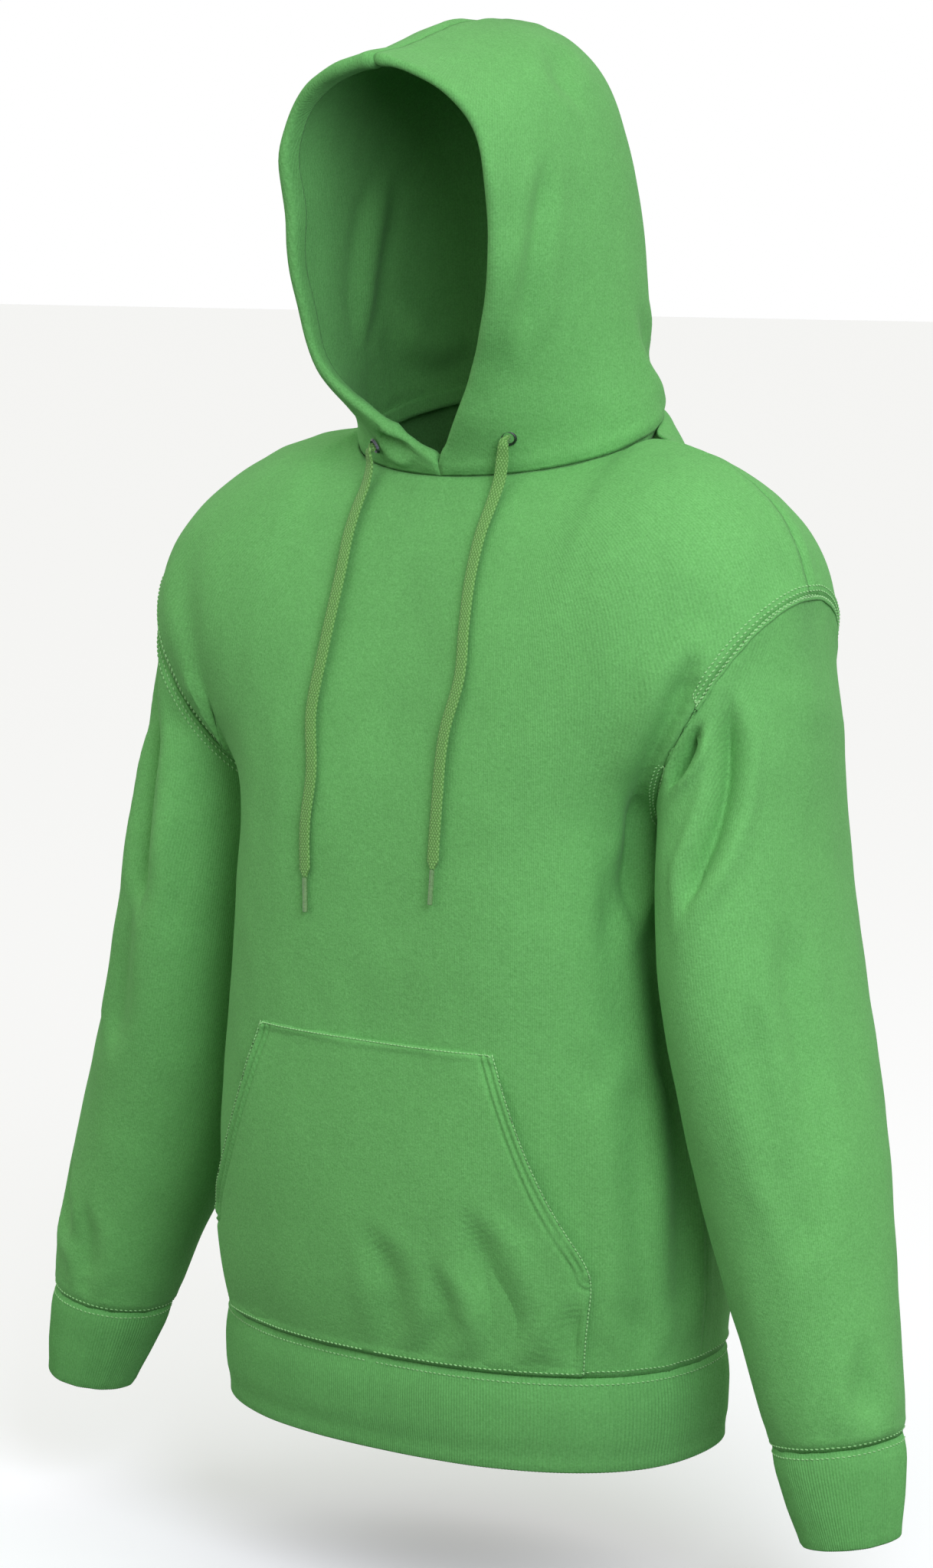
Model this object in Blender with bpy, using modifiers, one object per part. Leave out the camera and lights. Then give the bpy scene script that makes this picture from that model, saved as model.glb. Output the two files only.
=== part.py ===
"""A pullover hoodie as it hangs when worn, hollow and with nobody in it.

Metres, +Z up, the front towards -Y and the wearer's left at +X. The origin is the middle of the neck
seam's ring, where the wearer's shoulders hold the garment. Every cloth piece is a wall of even thickness
behind a loft of sections, and neighbours leave a small seam gap.
"""

import math

import bpy
import numpy as np
from mathutils import Vector

# ---------------------------------------------------------------- driving dimensions

WALL = 0.0018          # fleece-backed jersey
SEAM_GAP = 0.0004      # between two pieces that are sewn together
HOOD_SEAM_GAP = 0.0006  # between the hood's halves, whose curved walls lean together
SEAM_SHARE = 0.45      # the cloth is pressed to this share of its wall along its seams and edges

NECK_HALF_WIDTH = 0.115
NECK_HALF_DEPTH = 0.080
NECK_CENTRE_Y = 0.005
NECK_MEAN_Z = -0.008
NECK_DROP = 0.028      # the front of the neck seam lies this far under its mean, and the nape over it

YOKE_ROUND_NECK = 0.35  # how round the yoke falls from its top edge, beside the neck
YOKE_ROUND_GAIN = 1.3   # and how fast that grows outwards, up to a full round

SHOULDER_END = Vector((0.254, -0.020, -0.104))   # top of the dropped armhole seam
UNDERARM = Vector((0.160, -0.0245, -0.258))
ARMHOLE_FORE_AFT = 0.078
ARMHOLE_BOW = 0.005    # the armhole seam bows outwards at the front and the back

HEM_SEAM_Z = -0.618
RIB_HEIGHT = 0.060
TRUNK_MIDDLE_Y = -0.035
RIB_TILT = 0.003       # the hem hangs lower at the back than at the front by twice this
RIB_BANDS = (
    # share of the rib's height, swell
    (0.0, 0.0),
    (0.35, 0.0025),
    (0.75, 0.0015),
    (1.0, -0.002),
)

POCKET_TOP_Z = -0.402
POCKET_CORNER_Z = -0.540
POCKET_TOP = 0.095     # half widths of the pocket along its top, at the slant's foot and at the hem
POCKET_WIDEST = 0.156
POCKET_FOOT = 0.147
POCKET_SLANT = 0.75    # under 1 curves the hand opening inwards
POCKET_SEAT = 0.0014   # from the front's face to the pocket's outer face along its stitched edges
POCKET_GAPE = 0.006    # how far the pocket stands off the front between its stitched edges
POCKET_LIFT = 0.0015   # from the hem seam to the pocket's foot
POCKET_FLATTER = 0.35  # share of the gape that is lost at the pocket's sides

EYELET_OUTER = 0.0055
EYELET_INNER = 0.0036
EYELET_HEIGHT = 0.0016
EYELET_ROUND = 0.0004
CORD_DIAMETER = 0.005
CORD_STEP = 0.012      # between the points that a cord's tube is drawn through
TIP_DIAMETER = 0.0034
TIP_LENGTH = 0.023
TIP_ROUND = 0.0005

# ---------------------------------------------------------------- sections of the body, hood and sleeves

# The trunk from underarm to hem seam, each a rounded oblong.
TRUNK = (
    # z, half width, front y, back y, squareness
    (-0.258, 0.1600, -0.147, 0.098, 3.4),
    (-0.330, 0.1640, -0.152, 0.097, 3.3),
    (-0.400, 0.1735, -0.155, 0.094, 2.8),
    (-0.460, 0.1840, -0.157, 0.090, 2.6),
    (-0.530, 0.1900, -0.158, 0.087, 2.4),
    (-0.595, 0.1900, -0.157, 0.086, 2.3),
    (-0.618, 0.1865, -0.153, 0.082, 2.3),
)

# The shoulder seam's ridge from the neck out over the arm.
SHOULDER_RIDGE = (
    # x, y, z
    (0.155, 0.002, -0.015),
    (0.197, -0.006, -0.032),
    (0.228, -0.013, -0.053),
    (0.245, -0.018, -0.077),
)

# The sleeve: centre, half width across, half depth fore and aft, and the section's tilt.
SLEEVE = (
    # x, y, z, across, fore and aft, tilt in degrees
    (0.2090, -0.0215, -0.200, 0.0790, 0.0800, 53.0),
    (0.2130, -0.0225, -0.228, 0.0665, 0.0840, 41.0),
    (0.2150, -0.0240, -0.265, 0.0550, 0.0900, 25.0),
    (0.2200, -0.0280, -0.305, 0.0535, 0.0930, 12.0),
    (0.2300, -0.0300, -0.365, 0.0575, 0.0920, 12.0),
    (0.2400, -0.0320, -0.410, 0.0590, 0.0860, 14.0),
    (0.2525, -0.0380, -0.457, 0.0610, 0.0760, 15.0),
    (0.2640, -0.0430, -0.497, 0.0610, 0.0660, 15.0),
    (0.2775, -0.0500, -0.543, 0.0580, 0.0580, 15.0),
    (0.2920, -0.0560, -0.588, 0.0515, 0.0510, 13.0),
    (0.3015, -0.0580, -0.625, 0.0490, 0.0485, 11.0),
    (0.3060, -0.0590, -0.643, 0.0435, 0.0425, 10.0),
)
CUFF = (
    # the same columns as the sleeve
    (0.3060, -0.0590, -0.6430, 0.0435, 0.0425, 10.0),
    (0.3095, -0.0605, -0.6560, 0.0435, 0.0415, 10.0),
    (0.3160, -0.0640, -0.6820, 0.0385, 0.0365, 9.0),
    (0.3215, -0.0665, -0.7040, 0.0325, 0.0315, 9.0),
)

# The hood: where each level starts at the face opening, passes the ear and ends on the back seam.
# Its last column is how far the level's front stretch is a round one, like the neck seam's.
HOOD = (
    # left x, right x, open y, open z, ear x, ear y, ear z, back y, back z, round
    (0.000, 0.000, -0.078, -0.029, 0.1145, 0.004, 0.006, 0.0865, 0.034, 1.00),
    (0.014, 0.026, -0.082, -0.016, 0.1130, 0.002, 0.020, 0.088, 0.052, 0.85),
    (0.033, 0.066, -0.093, 0.008, 0.1080, -0.004, 0.040, 0.089, 0.070, 0.50),
    (0.055, 0.088, -0.104, 0.038, 0.1040, -0.010, 0.075, 0.088, 0.105, 0.20),
    (0.078, 0.091, -0.117, 0.080, 0.1010, -0.012, 0.115, 0.087, 0.140, 0.05),
    (0.089, 0.089, -0.128, 0.130, 0.0970, -0.016, 0.160, 0.082, 0.178, 0.00),
    (0.086, 0.086, -0.136, 0.180, 0.0890, -0.020, 0.202, 0.073, 0.212, 0.00),
    (0.073, 0.077, -0.140, 0.208, 0.0730, -0.026, 0.234, 0.060, 0.237, 0.00),
    (0.047, 0.053, -0.143, 0.226, 0.0470, -0.031, 0.2535, 0.047, 0.252, 0.00),
    (0.021, 0.025, -0.144, 0.236, 0.0210, -0.032, 0.2625, 0.038, 0.260, 0.00),
    (0.000, 0.000, -0.144, 0.240, 0.0000, -0.032, 0.2640, 0.034, 0.262, 0.00),
)

# The largest folds: a trough from start to end, its half width and its depth.
FOLDS = (
    # piece, start, end, width, depth
    ("front_panel", (0.205, -0.104, -0.105), (0.176, -0.128, -0.205), 0.014, 0.009),
    ("front_panel", (0.176, -0.128, -0.205), (0.158, -0.090, -0.300), 0.014, 0.008),
    ("front_panel", (-0.205, -0.104, -0.100), (-0.170, -0.128, -0.215), 0.014, 0.008),
    ("back_panel", (0.200, 0.066, -0.110), (0.150, 0.085, -0.290), 0.016, 0.008),
    ("back_panel", (-0.200, 0.066, -0.110), (-0.150, 0.085, -0.290), 0.016, 0.008),
    ("sleeve_left", (0.228, -0.104, -0.200), (0.205, -0.112, -0.310), 0.013, 0.008),
    ("sleeve_right", (-0.228, -0.104, -0.200), (-0.205, -0.112, -0.310), 0.013, 0.008),
    ("sleeve_left", (0.338, -0.045, -0.560), (0.292, -0.106, -0.600), 0.009, 0.005),
    ("sleeve_right", (-0.343, -0.030, -0.575), (-0.300, -0.108, -0.603), 0.009, 0.005),
)

# Each drawstring's route from its eyelet down the front.
CORD_LEFT = (
    (0.0545, -0.0782, -0.0110),
    (0.0528, -0.0782, -0.0220),
    (0.0515, -0.0792, -0.0350),
    (0.0505, -0.0868, -0.0510),
    (0.0503, -0.0972, -0.0670),
    (0.0510, -0.1106, -0.0960),
    (0.0545, -0.1226, -0.1270),
    (0.0580, -0.1324, -0.1600),
    (0.0515, -0.1407, -0.1980),
    (0.0510, -0.1477, -0.2430),
    (0.0505, -0.1518, -0.2850),
)
CORD_RIGHT = (
    (-0.0590, -0.0752, -0.0200),
    (-0.0586, -0.0752, -0.0300),
    (-0.0578, -0.0806, -0.0430),
    (-0.0575, -0.0900, -0.0565),
    (-0.0570, -0.0990, -0.0715),
    (-0.0545, -0.1130, -0.1010),
    (-0.0560, -0.1302, -0.1520),
    (-0.0590, -0.1390, -0.1910),
    (-0.0540, -0.1458, -0.2310),
    (-0.0560, -0.1500, -0.2660),
    (-0.0540, -0.1527, -0.3000),
)

# Each eyelet's centre and the way that it faces.
EYELETS = {
    "left": ((0.0542, -0.0729, -0.0090), (0.41, -0.86, -0.30)),
    "right": ((-0.0575, -0.0700, -0.0180), (-0.48, -0.74, -0.40)),
}

# ---------------------------------------------------------------- small helpers


def clear_scene():
    for old in list(bpy.data.objects):
        bpy.data.objects.remove(old, do_unlink=True)


def smooth_rows(rows, position, table):
    """The row of values at a position along a table, on a smooth curve through its rows."""
    rows = np.array(rows, float)
    table = np.array(table, float)
    slopes = np.gradient(table, rows, axis=0)
    index = int(np.clip(np.searchsorted(rows, position) - 1, 0, len(rows) - 2))
    span = rows[index + 1] - rows[index]
    t = (position - rows[index]) / span
    return (
        table[index] * (2 * t**3 - 3 * t**2 + 1)
        + slopes[index] * span * (t**3 - 2 * t**2 + t)
        + table[index + 1] * (3 * t**2 - 2 * t**3)
        + slopes[index + 1] * span * (t**3 - t**2)
    )


def soft_fade(index, last, cells):
    """0 on both edges of a row of points, rising softly to 1 a few cells in."""
    reach = min(index, last - index, cells) / cells
    return reach * reach * (3 - 2 * reach)


def press_folds(name, rows, ring):
    """Moves the points of a sheet inwards along the troughs that the table of folds gives it."""
    troughs = [fold for fold in FOLDS if fold[0] == name]
    last_row, last_column = len(rows) - 1, len(rows[0]) - 1
    pressed = [list(row) for row in rows]
    for i, row in enumerate(rows):
        for j, point in enumerate(row):
            along = rows[min(i + 1, last_row)][j] - rows[max(i - 1, 0)][j]
            after = (j + 1) % len(row) if ring else min(j + 1, last_column)
            across = row[after] - row[j - 1 if ring or j else 0]
            outward = across.cross(along).normalized()
            fade = soft_fade(i, last_row, 2) * (1 if ring else soft_fade(j, last_column, 2))
            for _, start, end, width, depth in troughs:
                start, run = Vector(start), Vector(end) - Vector(start)
                share = min(max((point - start).dot(run) / run.length_squared, 0), 1)
                distance = (point - start - run * share).length / width
                pressed[i][j] = pressed[i][j] - outward * depth * fade * math.exp(-distance * distance)
    return pressed


def add_material(node, colour, roughness, metallic=0.0):
    material = bpy.data.materials.new(node.name + "_finish")
    material.use_nodes = True
    shader = material.node_tree.nodes["Principled BSDF"]
    shader.inputs["Base Color"].default_value = (*colour, 1)
    shader.inputs["Roughness"].default_value = roughness
    shader.inputs["Metallic"].default_value = metallic
    node.data.materials.append(material)


def link(node, finish):
    parts_collection.objects.link(node)
    add_material(node, *finish)
    return node


def cloth(name, rows, finish, ring=False, flip=False):
    """A loft through rows of points, given its wall behind the face by Solidify."""
    if flip:
        rows = [row[::-1] for row in rows]
    rows = press_folds(name, rows, ring)
    width = len(rows[0])
    columns = width if ring else width - 1
    faces = [
        (i * width + j, i * width + (j + 1) % width, (i + 1) * width + (j + 1) % width, (i + 1) * width + j)
        for i in range(len(rows) - 1)
        for j in range(columns)
    ]
    mesh = bpy.data.meshes.new(name)
    mesh.from_pydata([tuple(point) for row in rows for point in row], [], faces)
    mesh.shade_smooth()
    node = link(bpy.data.objects.new(name, mesh), finish)
    inside = node.vertex_groups.new(name="off_the_seams")
    last_row, last_column = len(rows) - 1, width - 1
    for k in range(len(mesh.vertices)):
        row, column = divmod(k, width)
        if 0 < row < last_row and (ring or 0 < column < last_column):
            inside.add([k], 1.0, "REPLACE")
    solid = node.modifiers.new("wall", "SOLIDIFY")
    solid.thickness = WALL
    solid.offset = -1
    solid.vertex_group = inside.name
    solid.thickness_vertex_group = SEAM_SHARE
    return node


# ---------------------------------------------------------------- the body's form


def neck_ring(turn, lift=0.0):
    """A point of the neck seam, from 0 at the front to 180 degrees at the nape on the wearer's left."""
    angle = math.radians(turn)
    return Vector((
        NECK_HALF_WIDTH * math.sin(angle),
        NECK_CENTRE_Y - NECK_HALF_DEPTH * math.cos(angle),
        NECK_MEAN_Z - NECK_DROP * math.cos(angle) + lift,
    ))


def trunk_point(turn, height):
    """A point of the trunk under the arms, from 0 at the front round to 180 degrees at the back."""
    levels = [row[0] for row in reversed(TRUNK)]
    half_width, front_y, back_y, squareness = smooth_rows(
        levels, height, [row[1:] for row in reversed(TRUNK)]
    )
    middle = (front_y + back_y) / 2
    power = 2 / squareness
    sine, cosine = math.sin(math.radians(turn)), math.cos(math.radians(turn))
    return Vector((
        half_width * abs(sine) ** power,
        middle - (middle - front_y) * math.copysign(abs(cosine) ** power, cosine),
        height,
    ))


def armhole_point(turn):
    """A point of the armhole seam: 0 at the shoulder, 90 at the front, 180 under the arm, 270 at the back."""
    middle = (SHOULDER_END + UNDERARM) / 2
    upward = (SHOULDER_END - UNDERARM) / 2
    angle = math.radians(turn)
    bow = Vector((ARMHOLE_BOW * math.sin(angle) ** 2, 0, 0))
    return middle + upward * math.cos(angle) + Vector((0, -ARMHOLE_FORE_AFT * math.sin(angle), 0)) + bow


def top_edge(share, face):
    """The front's or back's top edge: half along the neck seam, then out along the shoulder seam."""
    if share <= 0.5:
        return neck_ring(180 * share if face < 0 else 180 - 180 * share)
    ridge = [neck_ring(90)] + [Vector(point) for point in SHOULDER_RIDGE] + [SHOULDER_END]
    reach = np.cumsum([0] + [(b - a).length for a, b in zip(ridge, ridge[1:])])
    return Vector(smooth_rows(reach, (2 * share - 1) * reach[-1], [tuple(point) for point in ridge]))


def yoke_point(share, drop, face):
    """A point between the top edge (drop 0) and the underarm level (drop 1), rounded over the shoulder."""
    high = top_edge(share, face)
    low = trunk_point(90 * share if face < 0 else 180 - 90 * share, UNDERARM.z)
    shelf = min(1, YOKE_ROUND_NECK + YOKE_ROUND_GAIN * share)
    forward = drop + shelf * (math.sin(math.pi / 2 * drop) - drop)
    fall = drop + shelf * (1 - math.cos(math.pi / 2 * drop) - drop)
    return Vector((high.x + (low.x - high.x) * drop, high.y + (low.y - high.y) * forward,
                   high.z + (low.z - high.z) * fall))


def body_point(share, level, face):
    """A point of the front (face -1) or back (face +1): share 0 centre to 1 edge, level 0 hem to 2 top."""
    if level <= 1:
        height = HEM_SEAM_Z + (UNDERARM.z - HEM_SEAM_Z) * level
        return trunk_point(90 * share if face < 0 else 180 - 90 * share, height)
    drop = 2 - level
    turn = 180 * drop if face < 0 else 360 - 180 * drop
    miss = armhole_point(turn) - yoke_point(1, drop, face)
    return yoke_point(share, drop, face) + miss * share**2


def panel_rows(face, half_columns=12, low_rows=8, yoke_rows=10):
    """Rows of the front or back, hem to top, with half a seam gap left along the side and the shoulder."""
    levels = [i / low_rows for i in range(low_rows)] + [1 + i / yoke_rows for i in range(yoke_rows + 1)]
    rows = []
    for level in levels:
        row = []
        for j in range(-half_columns, half_columns + 1):
            share = abs(j) / half_columns
            point = body_point(share, level, face)
            if share == 1 or (level == 2 and share >= 0.5):
                point.y += face * SEAM_GAP / 2
            row.append(Vector((math.copysign(point.x, j) if j else 0, point.y, point.z)))
        rows.append(row if face < 0 else row[::-1])
    return rows


# ---------------------------------------------------------------- cloth pieces

FLEECE = ((0.130, 0.430, 0.140), 0.95)
RIB = ((0.115, 0.390, 0.125), 0.95)
BRAID = ((0.120, 0.290, 0.075), 0.90)
GUNMETAL = ((0.090, 0.090, 0.095), 0.35, 1.0)
TIP = ((0.120, 0.230, 0.090), 0.45)


def ring_at(row, side, steps, slide=0.0):
    """A ring of a sleeve or cuff, slid down the arm by a little where a seam gap is wanted."""
    x, y, z, across, fore_aft, tilt = row
    tilt = math.radians(tilt)
    points = []
    for k in range(steps):
        angle = 2 * math.pi * k / steps
        reach = across * math.cos(angle)
        points.append(Vector((
            side * (x + reach * math.cos(tilt) + slide * math.sin(tilt)),
            y - fore_aft * math.sin(angle),
            z + reach * math.sin(tilt) - slide * math.cos(tilt),
        )))
    return points


def make_sleeve(name, side, steps=20):
    normal = (SHOULDER_END - UNDERARM).cross(Vector((0, 1, 0))).normalized()
    top = []
    for k in range(steps):
        point = armhole_point(360 * k / steps) - normal * SEAM_GAP
        top.append(Vector((side * point.x, point.y, point.z)))
    rows = [top] + [ring_at(row, side, steps) for row in SLEEVE]
    return cloth(name, rows, FLEECE, ring=True, flip=side < 0)


def make_cuff(name, side, steps=20):
    rows = [ring_at(row, side, steps, SEAM_GAP if row is CUFF[0] else 0) for row in CUFF]
    return cloth(name, rows, RIB, ring=True, flip=side < 0)


def make_hem_rib(steps=48):
    """The rib band: drawn in at the seam, fuller in the middle and turned in at its lower edge."""
    rows = []
    for share, swell in RIB_BANDS:
        share = max(share, SEAM_GAP / RIB_HEIGHT)
        row = []
        for k in range(steps):
            turn = 360 * k / steps
            point = trunk_point(min(turn, 360 - turn), HEM_SEAM_Z)
            aft = (point.y - TRUNK_MIDDLE_Y) / NECK_HALF_DEPTH
            out = Vector((point.x / NECK_HALF_WIDTH, aft, 0)).normalized()
            tilt = RIB_TILT * math.cos(math.radians(turn)) * share
            x = point.x if turn <= 180 else -point.x
            row.append(Vector((
                x + (out.x if turn <= 180 else -out.x) * swell,
                point.y + out.y * swell,
                HEM_SEAM_Z - RIB_HEIGHT * share + tilt,
            )))
        rows.append(row)
    return cloth("hem_rib", rows[::-1], RIB, ring=True)


def hood_row(level, side, front_steps=6, back_steps=6):
    """One level of a hood half, from the face opening past the ear to the back seam."""
    row = []
    for k in range(front_steps + back_steps + 1):
        q = k / front_steps
        if level is None:
            turn = 90 * q if q <= 1 else 90 + 90 * (k - front_steps) / back_steps
            point = neck_ring(turn, SEAM_GAP)
        else:
            left_x, right_x, open_y, open_z, ear_x, ear_y, ear_z, back_y, back_z, roundness = level
            open_x = left_x if side > 0 else right_x
            if q <= 1:
                ease = q * q * (3 - 2 * q)
                sine, cosine = math.sin(math.pi / 2 * q), math.cos(math.pi / 2 * q)
                outward = (1 - (1 - q) ** 2) * (1 - roundness) + sine * roundness
                backward = q * (1 - roundness) + (1 - cosine) * roundness
                point = Vector((open_x + (ear_x - open_x) * outward, open_y + (ear_y - open_y) * backward,
                                open_z + (ear_z - open_z) * ease))
            else:
                turn = math.pi / 2 * (k - front_steps) / back_steps
                point = Vector((ear_x * math.cos(turn), ear_y + (back_y - ear_y) * math.sin(turn),
                                ear_z + (back_z - ear_z) * (1 - math.cos(turn))))
        row.append(Vector((side * max(point.x, HOOD_SEAM_GAP / 2), point.y, point.z)))
    return row


def make_hood_half(name, side):
    rows = [hood_row(level, side) for level in (None, *HOOD)]
    return cloth(name, rows, FLEECE, flip=side < 0)


def pocket_half_width(height):
    """Straight below the hand opening's lower corner, then drawn in along a concave slant to the top."""
    if height < POCKET_CORNER_Z:
        sink = (POCKET_CORNER_Z - height) / (POCKET_CORNER_Z - HEM_SEAM_Z)
        return POCKET_WIDEST + (POCKET_FOOT - POCKET_WIDEST) * sink
    climb = (height - POCKET_CORNER_Z) / (POCKET_TOP_Z - POCKET_CORNER_Z)
    return POCKET_WIDEST + (POCKET_TOP - POCKET_WIDEST) * climb**POCKET_SLANT


def trunk_turn(reach, height):
    """The turn round the trunk's front, in degrees, at which its section is this far out, by halving."""
    low, high = 0.0, 89.0
    while high - low > 0.01:
        middle = (low + high) / 2
        if trunk_point(middle, height).x < reach:
            low = middle
        else:
            high = middle
    return low


def make_pocket(half_columns=7, row_count=9):
    """The kangaroo pocket: the front's own points, moved out, between its slanted hand openings."""
    rows = []
    for i in range(row_count + 1):
        foot = HEM_SEAM_Z + POCKET_LIFT
        height = foot + (POCKET_TOP_Z - foot) * i / row_count
        half_width = pocket_half_width(height)
        row = []
        for j in range(-half_columns, half_columns + 1):
            share = abs(j) / half_columns
            turn = trunk_turn(half_width * share, height)
            found = trunk_point(turn, height)
            ahead = trunk_point(turn + 1, height) - trunk_point(max(turn - 1, 0), height)
            out = Vector((-ahead.y, ahead.x, 0)).normalized() * -1
            belly = math.sin(math.pi * i / row_count) * (1 - POCKET_FLATTER * share**2)
            found += out * (POCKET_SEAT + POCKET_GAPE * belly)
            row.append(Vector((math.copysign(found.x, j) if j else 0, found.y, found.z)))
        rows.append(row)
    return cloth("pocket", rows, FLEECE)


def make_eyelet(name, centre, outward):
    """A rolled metal ring: a short tube's profile turned about its axis."""
    crown = (EYELET_OUTER + EYELET_INNER) / 2
    profile = (
        (EYELET_OUTER, 0.0), (EYELET_OUTER - EYELET_ROUND, EYELET_HEIGHT * 0.6), (crown, EYELET_HEIGHT),
        (EYELET_INNER + EYELET_ROUND, EYELET_HEIGHT * 0.6), (EYELET_INNER, 0.0),
    )
    mesh = bpy.data.meshes.new(name)
    edges = [(k, (k + 1) % len(profile)) for k in range(len(profile))]
    mesh.from_pydata([(x, 0, height) for x, height in profile], edges, [])
    node = link(bpy.data.objects.new(name, mesh), GUNMETAL)
    turn = node.modifiers.new("turn", "SCREW")
    turn.steps = turn.render_steps = 20
    turn.use_merge_vertices = True
    turn.merge_threshold = 0.0001
    turn.use_normal_flip = True
    node.location = centre
    node.rotation_euler = Vector(outward).to_track_quat("Z", "Y").to_euler()
    return node


def smooth_route(route, spacing):
    """Points a set distance apart on a smooth curve through the route's own points."""
    reach = np.cumsum([0] + [(Vector(b) - Vector(a)).length for a, b in zip(route, route[1:])])
    count = max(2, round(reach[-1] / spacing))
    return [Vector(smooth_rows(reach, reach[-1] * k / count, route)) for k in range(count + 1)]


def make_cord(name, route):
    curve = bpy.data.curves.new(name, "CURVE")
    curve.dimensions = "3D"
    curve.bevel_depth = CORD_DIAMETER / 2
    curve.bevel_resolution = 2
    curve.use_fill_caps = True
    spline = curve.splines.new("POLY")
    points = smooth_route(route, CORD_STEP)
    spline.points.add(len(points) - 1)
    for slot, point in zip(spline.points, points):
        slot.co = (*point, 1)
    return link(bpy.data.objects.new(name, curve), BRAID), points


def make_tip(name, cord_points):
    """The crimped tip, in line with the cord's last stretch."""
    run = (cord_points[-1] - cord_points[-2]).normalized()
    centre = cord_points[-1] + run * (TIP_LENGTH / 2 + SEAM_GAP)
    turn = run.to_track_quat("Z", "Y").to_euler()
    bpy.ops.mesh.primitive_cylinder_add(
        vertices=12, radius=TIP_DIAMETER / 2, depth=TIP_LENGTH, location=centre, rotation=turn
    )
    node = bpy.context.object
    node.name = name
    for collection in list(node.users_collection):
        collection.objects.unlink(node)
    link(node, TIP)
    edge = node.modifiers.new("rounded_ends", "BEVEL")
    edge.width = TIP_ROUND
    edge.segments = 2
    return node


# ---------------------------------------------------------------- build

clear_scene()
parts_collection = bpy.data.collections.new("pullover_hoodie")
bpy.context.scene.collection.children.link(parts_collection)


def main():
    cloth("front_panel", panel_rows(-1), FLEECE)
    cloth("back_panel", panel_rows(1), FLEECE)
    for name, side in (("left", 1), ("right", -1)):
        make_sleeve("sleeve_" + name, side)
        make_cuff("cuff_" + name, side)
        make_hood_half("hood_" + name, side)
    make_hem_rib()
    make_pocket()
    for name, route in (("left", CORD_LEFT), ("right", CORD_RIGHT)):
        _, points = make_cord("drawstring_" + name, route)
        make_tip("drawstring_tip_" + name, points)
        make_eyelet("eyelet_" + name, *EYELETS[name])


main()
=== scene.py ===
# %% [markdown]
# # A green pullover hoodie, filled out as if it were worn
# The construction is ready and comes in as a frame of plain solids. Each cloth piece is made again here
# as a thin shell on the form of its solid, because a sewn garment shows its make in the soft surface:
# the seams, the rib, the folds that each seam and bend sets off.

# %% The frame
import math

import bmesh
import bpy
import numpy as np
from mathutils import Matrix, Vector, noise
from mathutils.bvhtree import BVHTree


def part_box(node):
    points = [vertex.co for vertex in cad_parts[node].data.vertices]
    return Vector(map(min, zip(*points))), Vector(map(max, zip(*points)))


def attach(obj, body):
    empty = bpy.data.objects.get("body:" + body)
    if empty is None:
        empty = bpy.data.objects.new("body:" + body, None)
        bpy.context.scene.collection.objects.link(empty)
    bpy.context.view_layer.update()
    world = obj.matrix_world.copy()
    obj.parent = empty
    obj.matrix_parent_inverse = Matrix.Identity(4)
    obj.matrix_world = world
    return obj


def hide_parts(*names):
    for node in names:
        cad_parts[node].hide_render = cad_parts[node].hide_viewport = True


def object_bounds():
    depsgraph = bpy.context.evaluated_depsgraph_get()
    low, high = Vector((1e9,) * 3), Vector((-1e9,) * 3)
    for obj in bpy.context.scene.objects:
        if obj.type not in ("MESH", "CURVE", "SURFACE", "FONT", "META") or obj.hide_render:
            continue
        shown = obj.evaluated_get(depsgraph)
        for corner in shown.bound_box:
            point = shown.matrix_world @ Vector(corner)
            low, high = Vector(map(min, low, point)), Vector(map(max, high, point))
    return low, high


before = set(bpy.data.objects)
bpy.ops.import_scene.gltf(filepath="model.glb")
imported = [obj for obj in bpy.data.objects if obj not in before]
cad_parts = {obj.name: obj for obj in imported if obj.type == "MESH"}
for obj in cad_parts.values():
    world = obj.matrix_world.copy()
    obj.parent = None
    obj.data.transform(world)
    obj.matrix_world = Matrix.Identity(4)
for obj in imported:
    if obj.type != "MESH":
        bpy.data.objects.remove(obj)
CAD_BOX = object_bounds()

print("nodes:", ", ".join(sorted(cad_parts)))

# %% [markdown]
# ## Camera
# The garment is seen from its front left, a little turned and from just above the chest, with a long lens,
# so that the shoulders and the hem keep their true proportion.

# %% Camera
TURN = math.radians(36.0)
EYE_DISTANCE = 2.78
EYE_HEIGHT = 0.1355
EYE_ASIDE = -0.027
AIM_DOWN = math.radians(7.9)
ROLL = 0.0020
LENS_MM = 94.1


def place_camera():
    right = Vector((math.cos(TURN), math.sin(TURN), 0))
    back = Vector((math.sin(TURN), -math.cos(TURN), 0))
    data = bpy.data.cameras.new("camera")
    data.lens = LENS_MM
    camera = bpy.data.objects.new("camera", data)
    bpy.context.scene.collection.objects.link(camera)
    camera.location = back * EYE_DISTANCE + right * EYE_ASIDE + Vector((0, 0, EYE_HEIGHT))
    camera.rotation_euler = (math.pi / 2 - AIM_DOWN, -ROLL, TURN)
    bpy.context.scene.camera = camera
    return camera


camera = place_camera()
print("camera at", [round(c, 3) for c in camera.location])
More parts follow.
